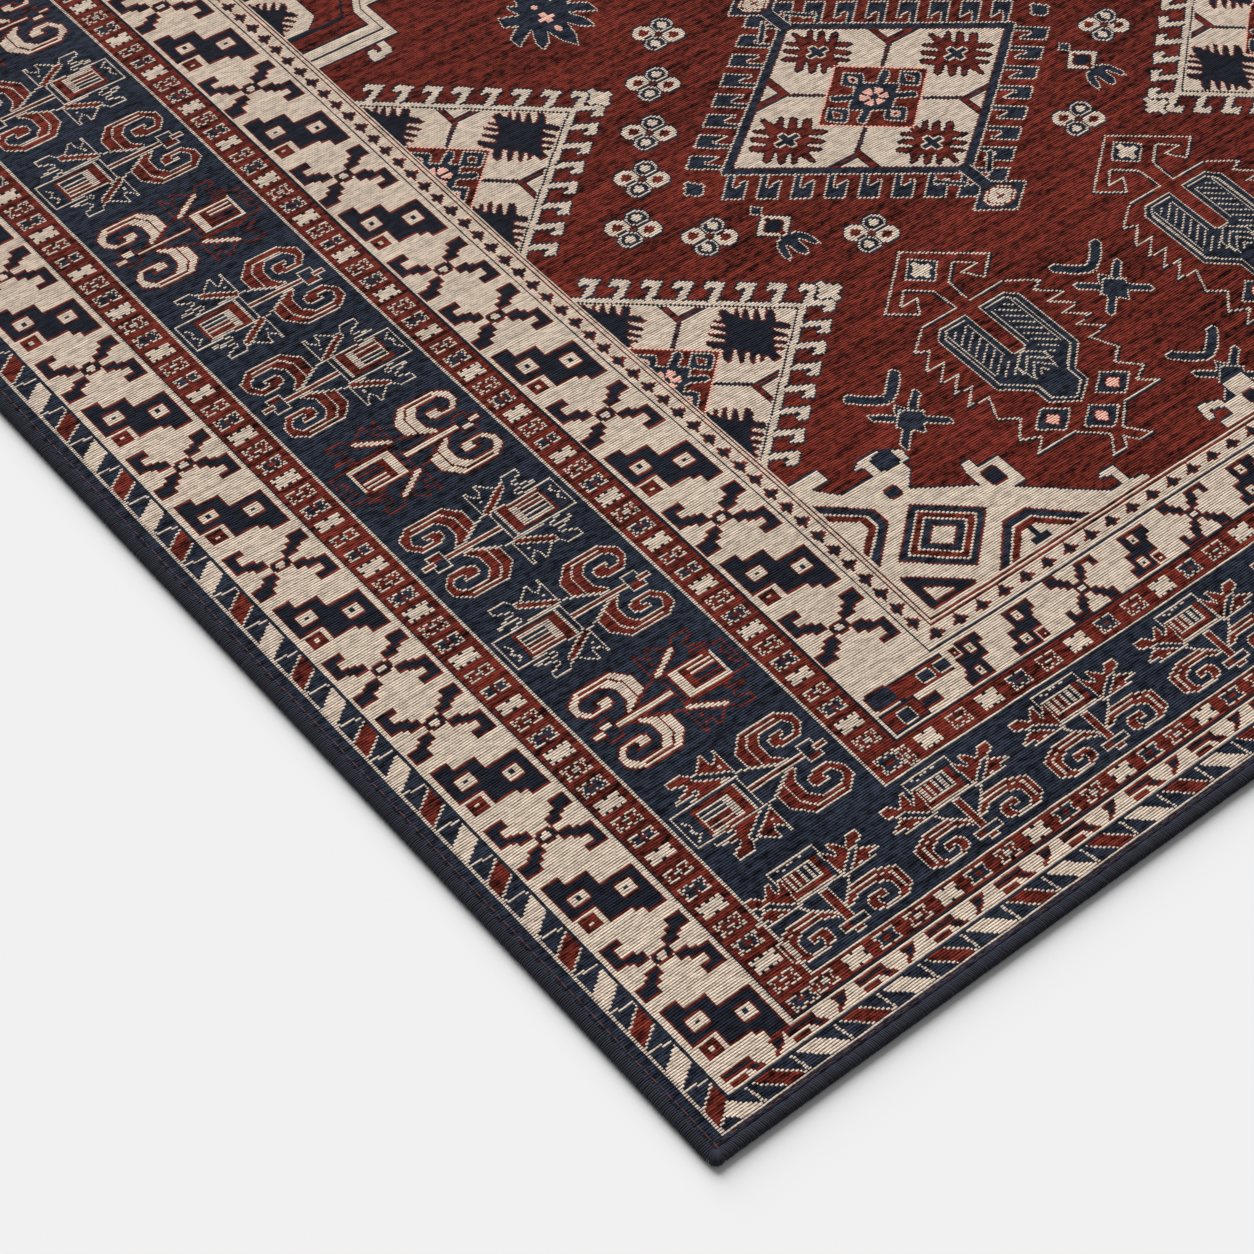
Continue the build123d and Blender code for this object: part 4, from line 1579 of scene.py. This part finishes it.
def buildRoom():
    mesh = bpy.data.meshes.new("floor")
    reach = roomSettings["reach"]
    corners = ((-reach, -reach), (reach, -reach), (reach, reach), (-reach, reach))
    mesh.from_pydata([(x, y, -roomSettings["drop"]) for x, y in corners], [], [(0, 1, 2, 3)])
    material, bench = newMaterial("paleFloor")
    shade = roomSettings["floor"]
    shader = bench.node("ShaderNodeBsdfPrincipled", {}, {"Base Color": (shade, shade, shade, 1.0),
                                                         "Roughness": 0.9, "Specular IOR Level": 0.0})
    bench.node("ShaderNodeOutputMaterial", {}, {"Surface": shader})
    mesh.materials.append(material)
    floor = bpy.data.objects.new("floor", mesh)
    bpy.context.scene.collection.objects.link(floor)
    world = bpy.data.worlds.new("softSky")
    world.use_nodes = True
    world.node_tree.nodes.clear()
    bench = Bench(world.node_tree)
    seen = bench.node("ShaderNodeLightPath", {}, {}, "Is Camera Ray")
    strength = roomSettings["sky"] + seen * (roomSettings["backdrop"] - roomSettings["sky"])
    sky = bench.node("ShaderNodeBackground", {}, {"Color": (1.0, 1.0, 1.0, 1.0), "Strength": strength})
    bench.node("ShaderNodeOutputWorld", {}, {"Surface": sky})
    bpy.context.scene.world = world
    lamp = bpy.data.lights.new("broadLight", "SUN")
    lamp.energy = roomSettings["light"]
    lamp.angle = math.radians(roomSettings["lightSpread"])
    light = bpy.data.objects.new("broadLight", lamp)
    heading = math.radians(roomSettings["lightHeading"])
    tip = math.radians(90 - roomSettings["lightHeight"])
    turned = Matrix.Rotation(-heading, 3, "Z") @ Matrix.Rotation(-tip, 3, "X")
    light.rotation_euler = turned.to_euler()
    bpy.context.scene.collection.objects.link(light)


cameraSettings = {
    "stand": (-0.6058, -0.4969, 1.3427),  # metres from the front left corner of the face
    "heading": 45.223,  # degrees from the rug's length towards its right side
    "dip": 50.066,
    "roll": 6.52,
    "lens": 87.86,
}


def placeCamera():
    data = bpy.data.cameras.new("camera")
    data.lens = cameraSettings["lens"]
    data.sensor_width = 36.0
    data.clip_start = 0.05
    data.clip_end = 100.0
    camera = bpy.data.objects.new("camera", data)
    corner = Vector((outerLow[0], outerLow[1], faceHigh[2]))
    turned = (Matrix.Rotation(-math.radians(cameraSettings["heading"]), 3, "Z")
              @ Matrix.Rotation(math.radians(90 - cameraSettings["dip"]), 3, "X")
              @ Matrix.Rotation(math.radians(cameraSettings["roll"]), 3, "Z"))
    camera.matrix_world = Matrix.Translation(corner + Vector(cameraSettings["stand"])) @ turned.to_4x4()
    bpy.context.scene.collection.objects.link(camera)
    bpy.context.scene.camera = camera


buildRoom()
placeCamera()
bpy.context.scene.view_settings.view_transform = "Standard"
print("room and camera placed")
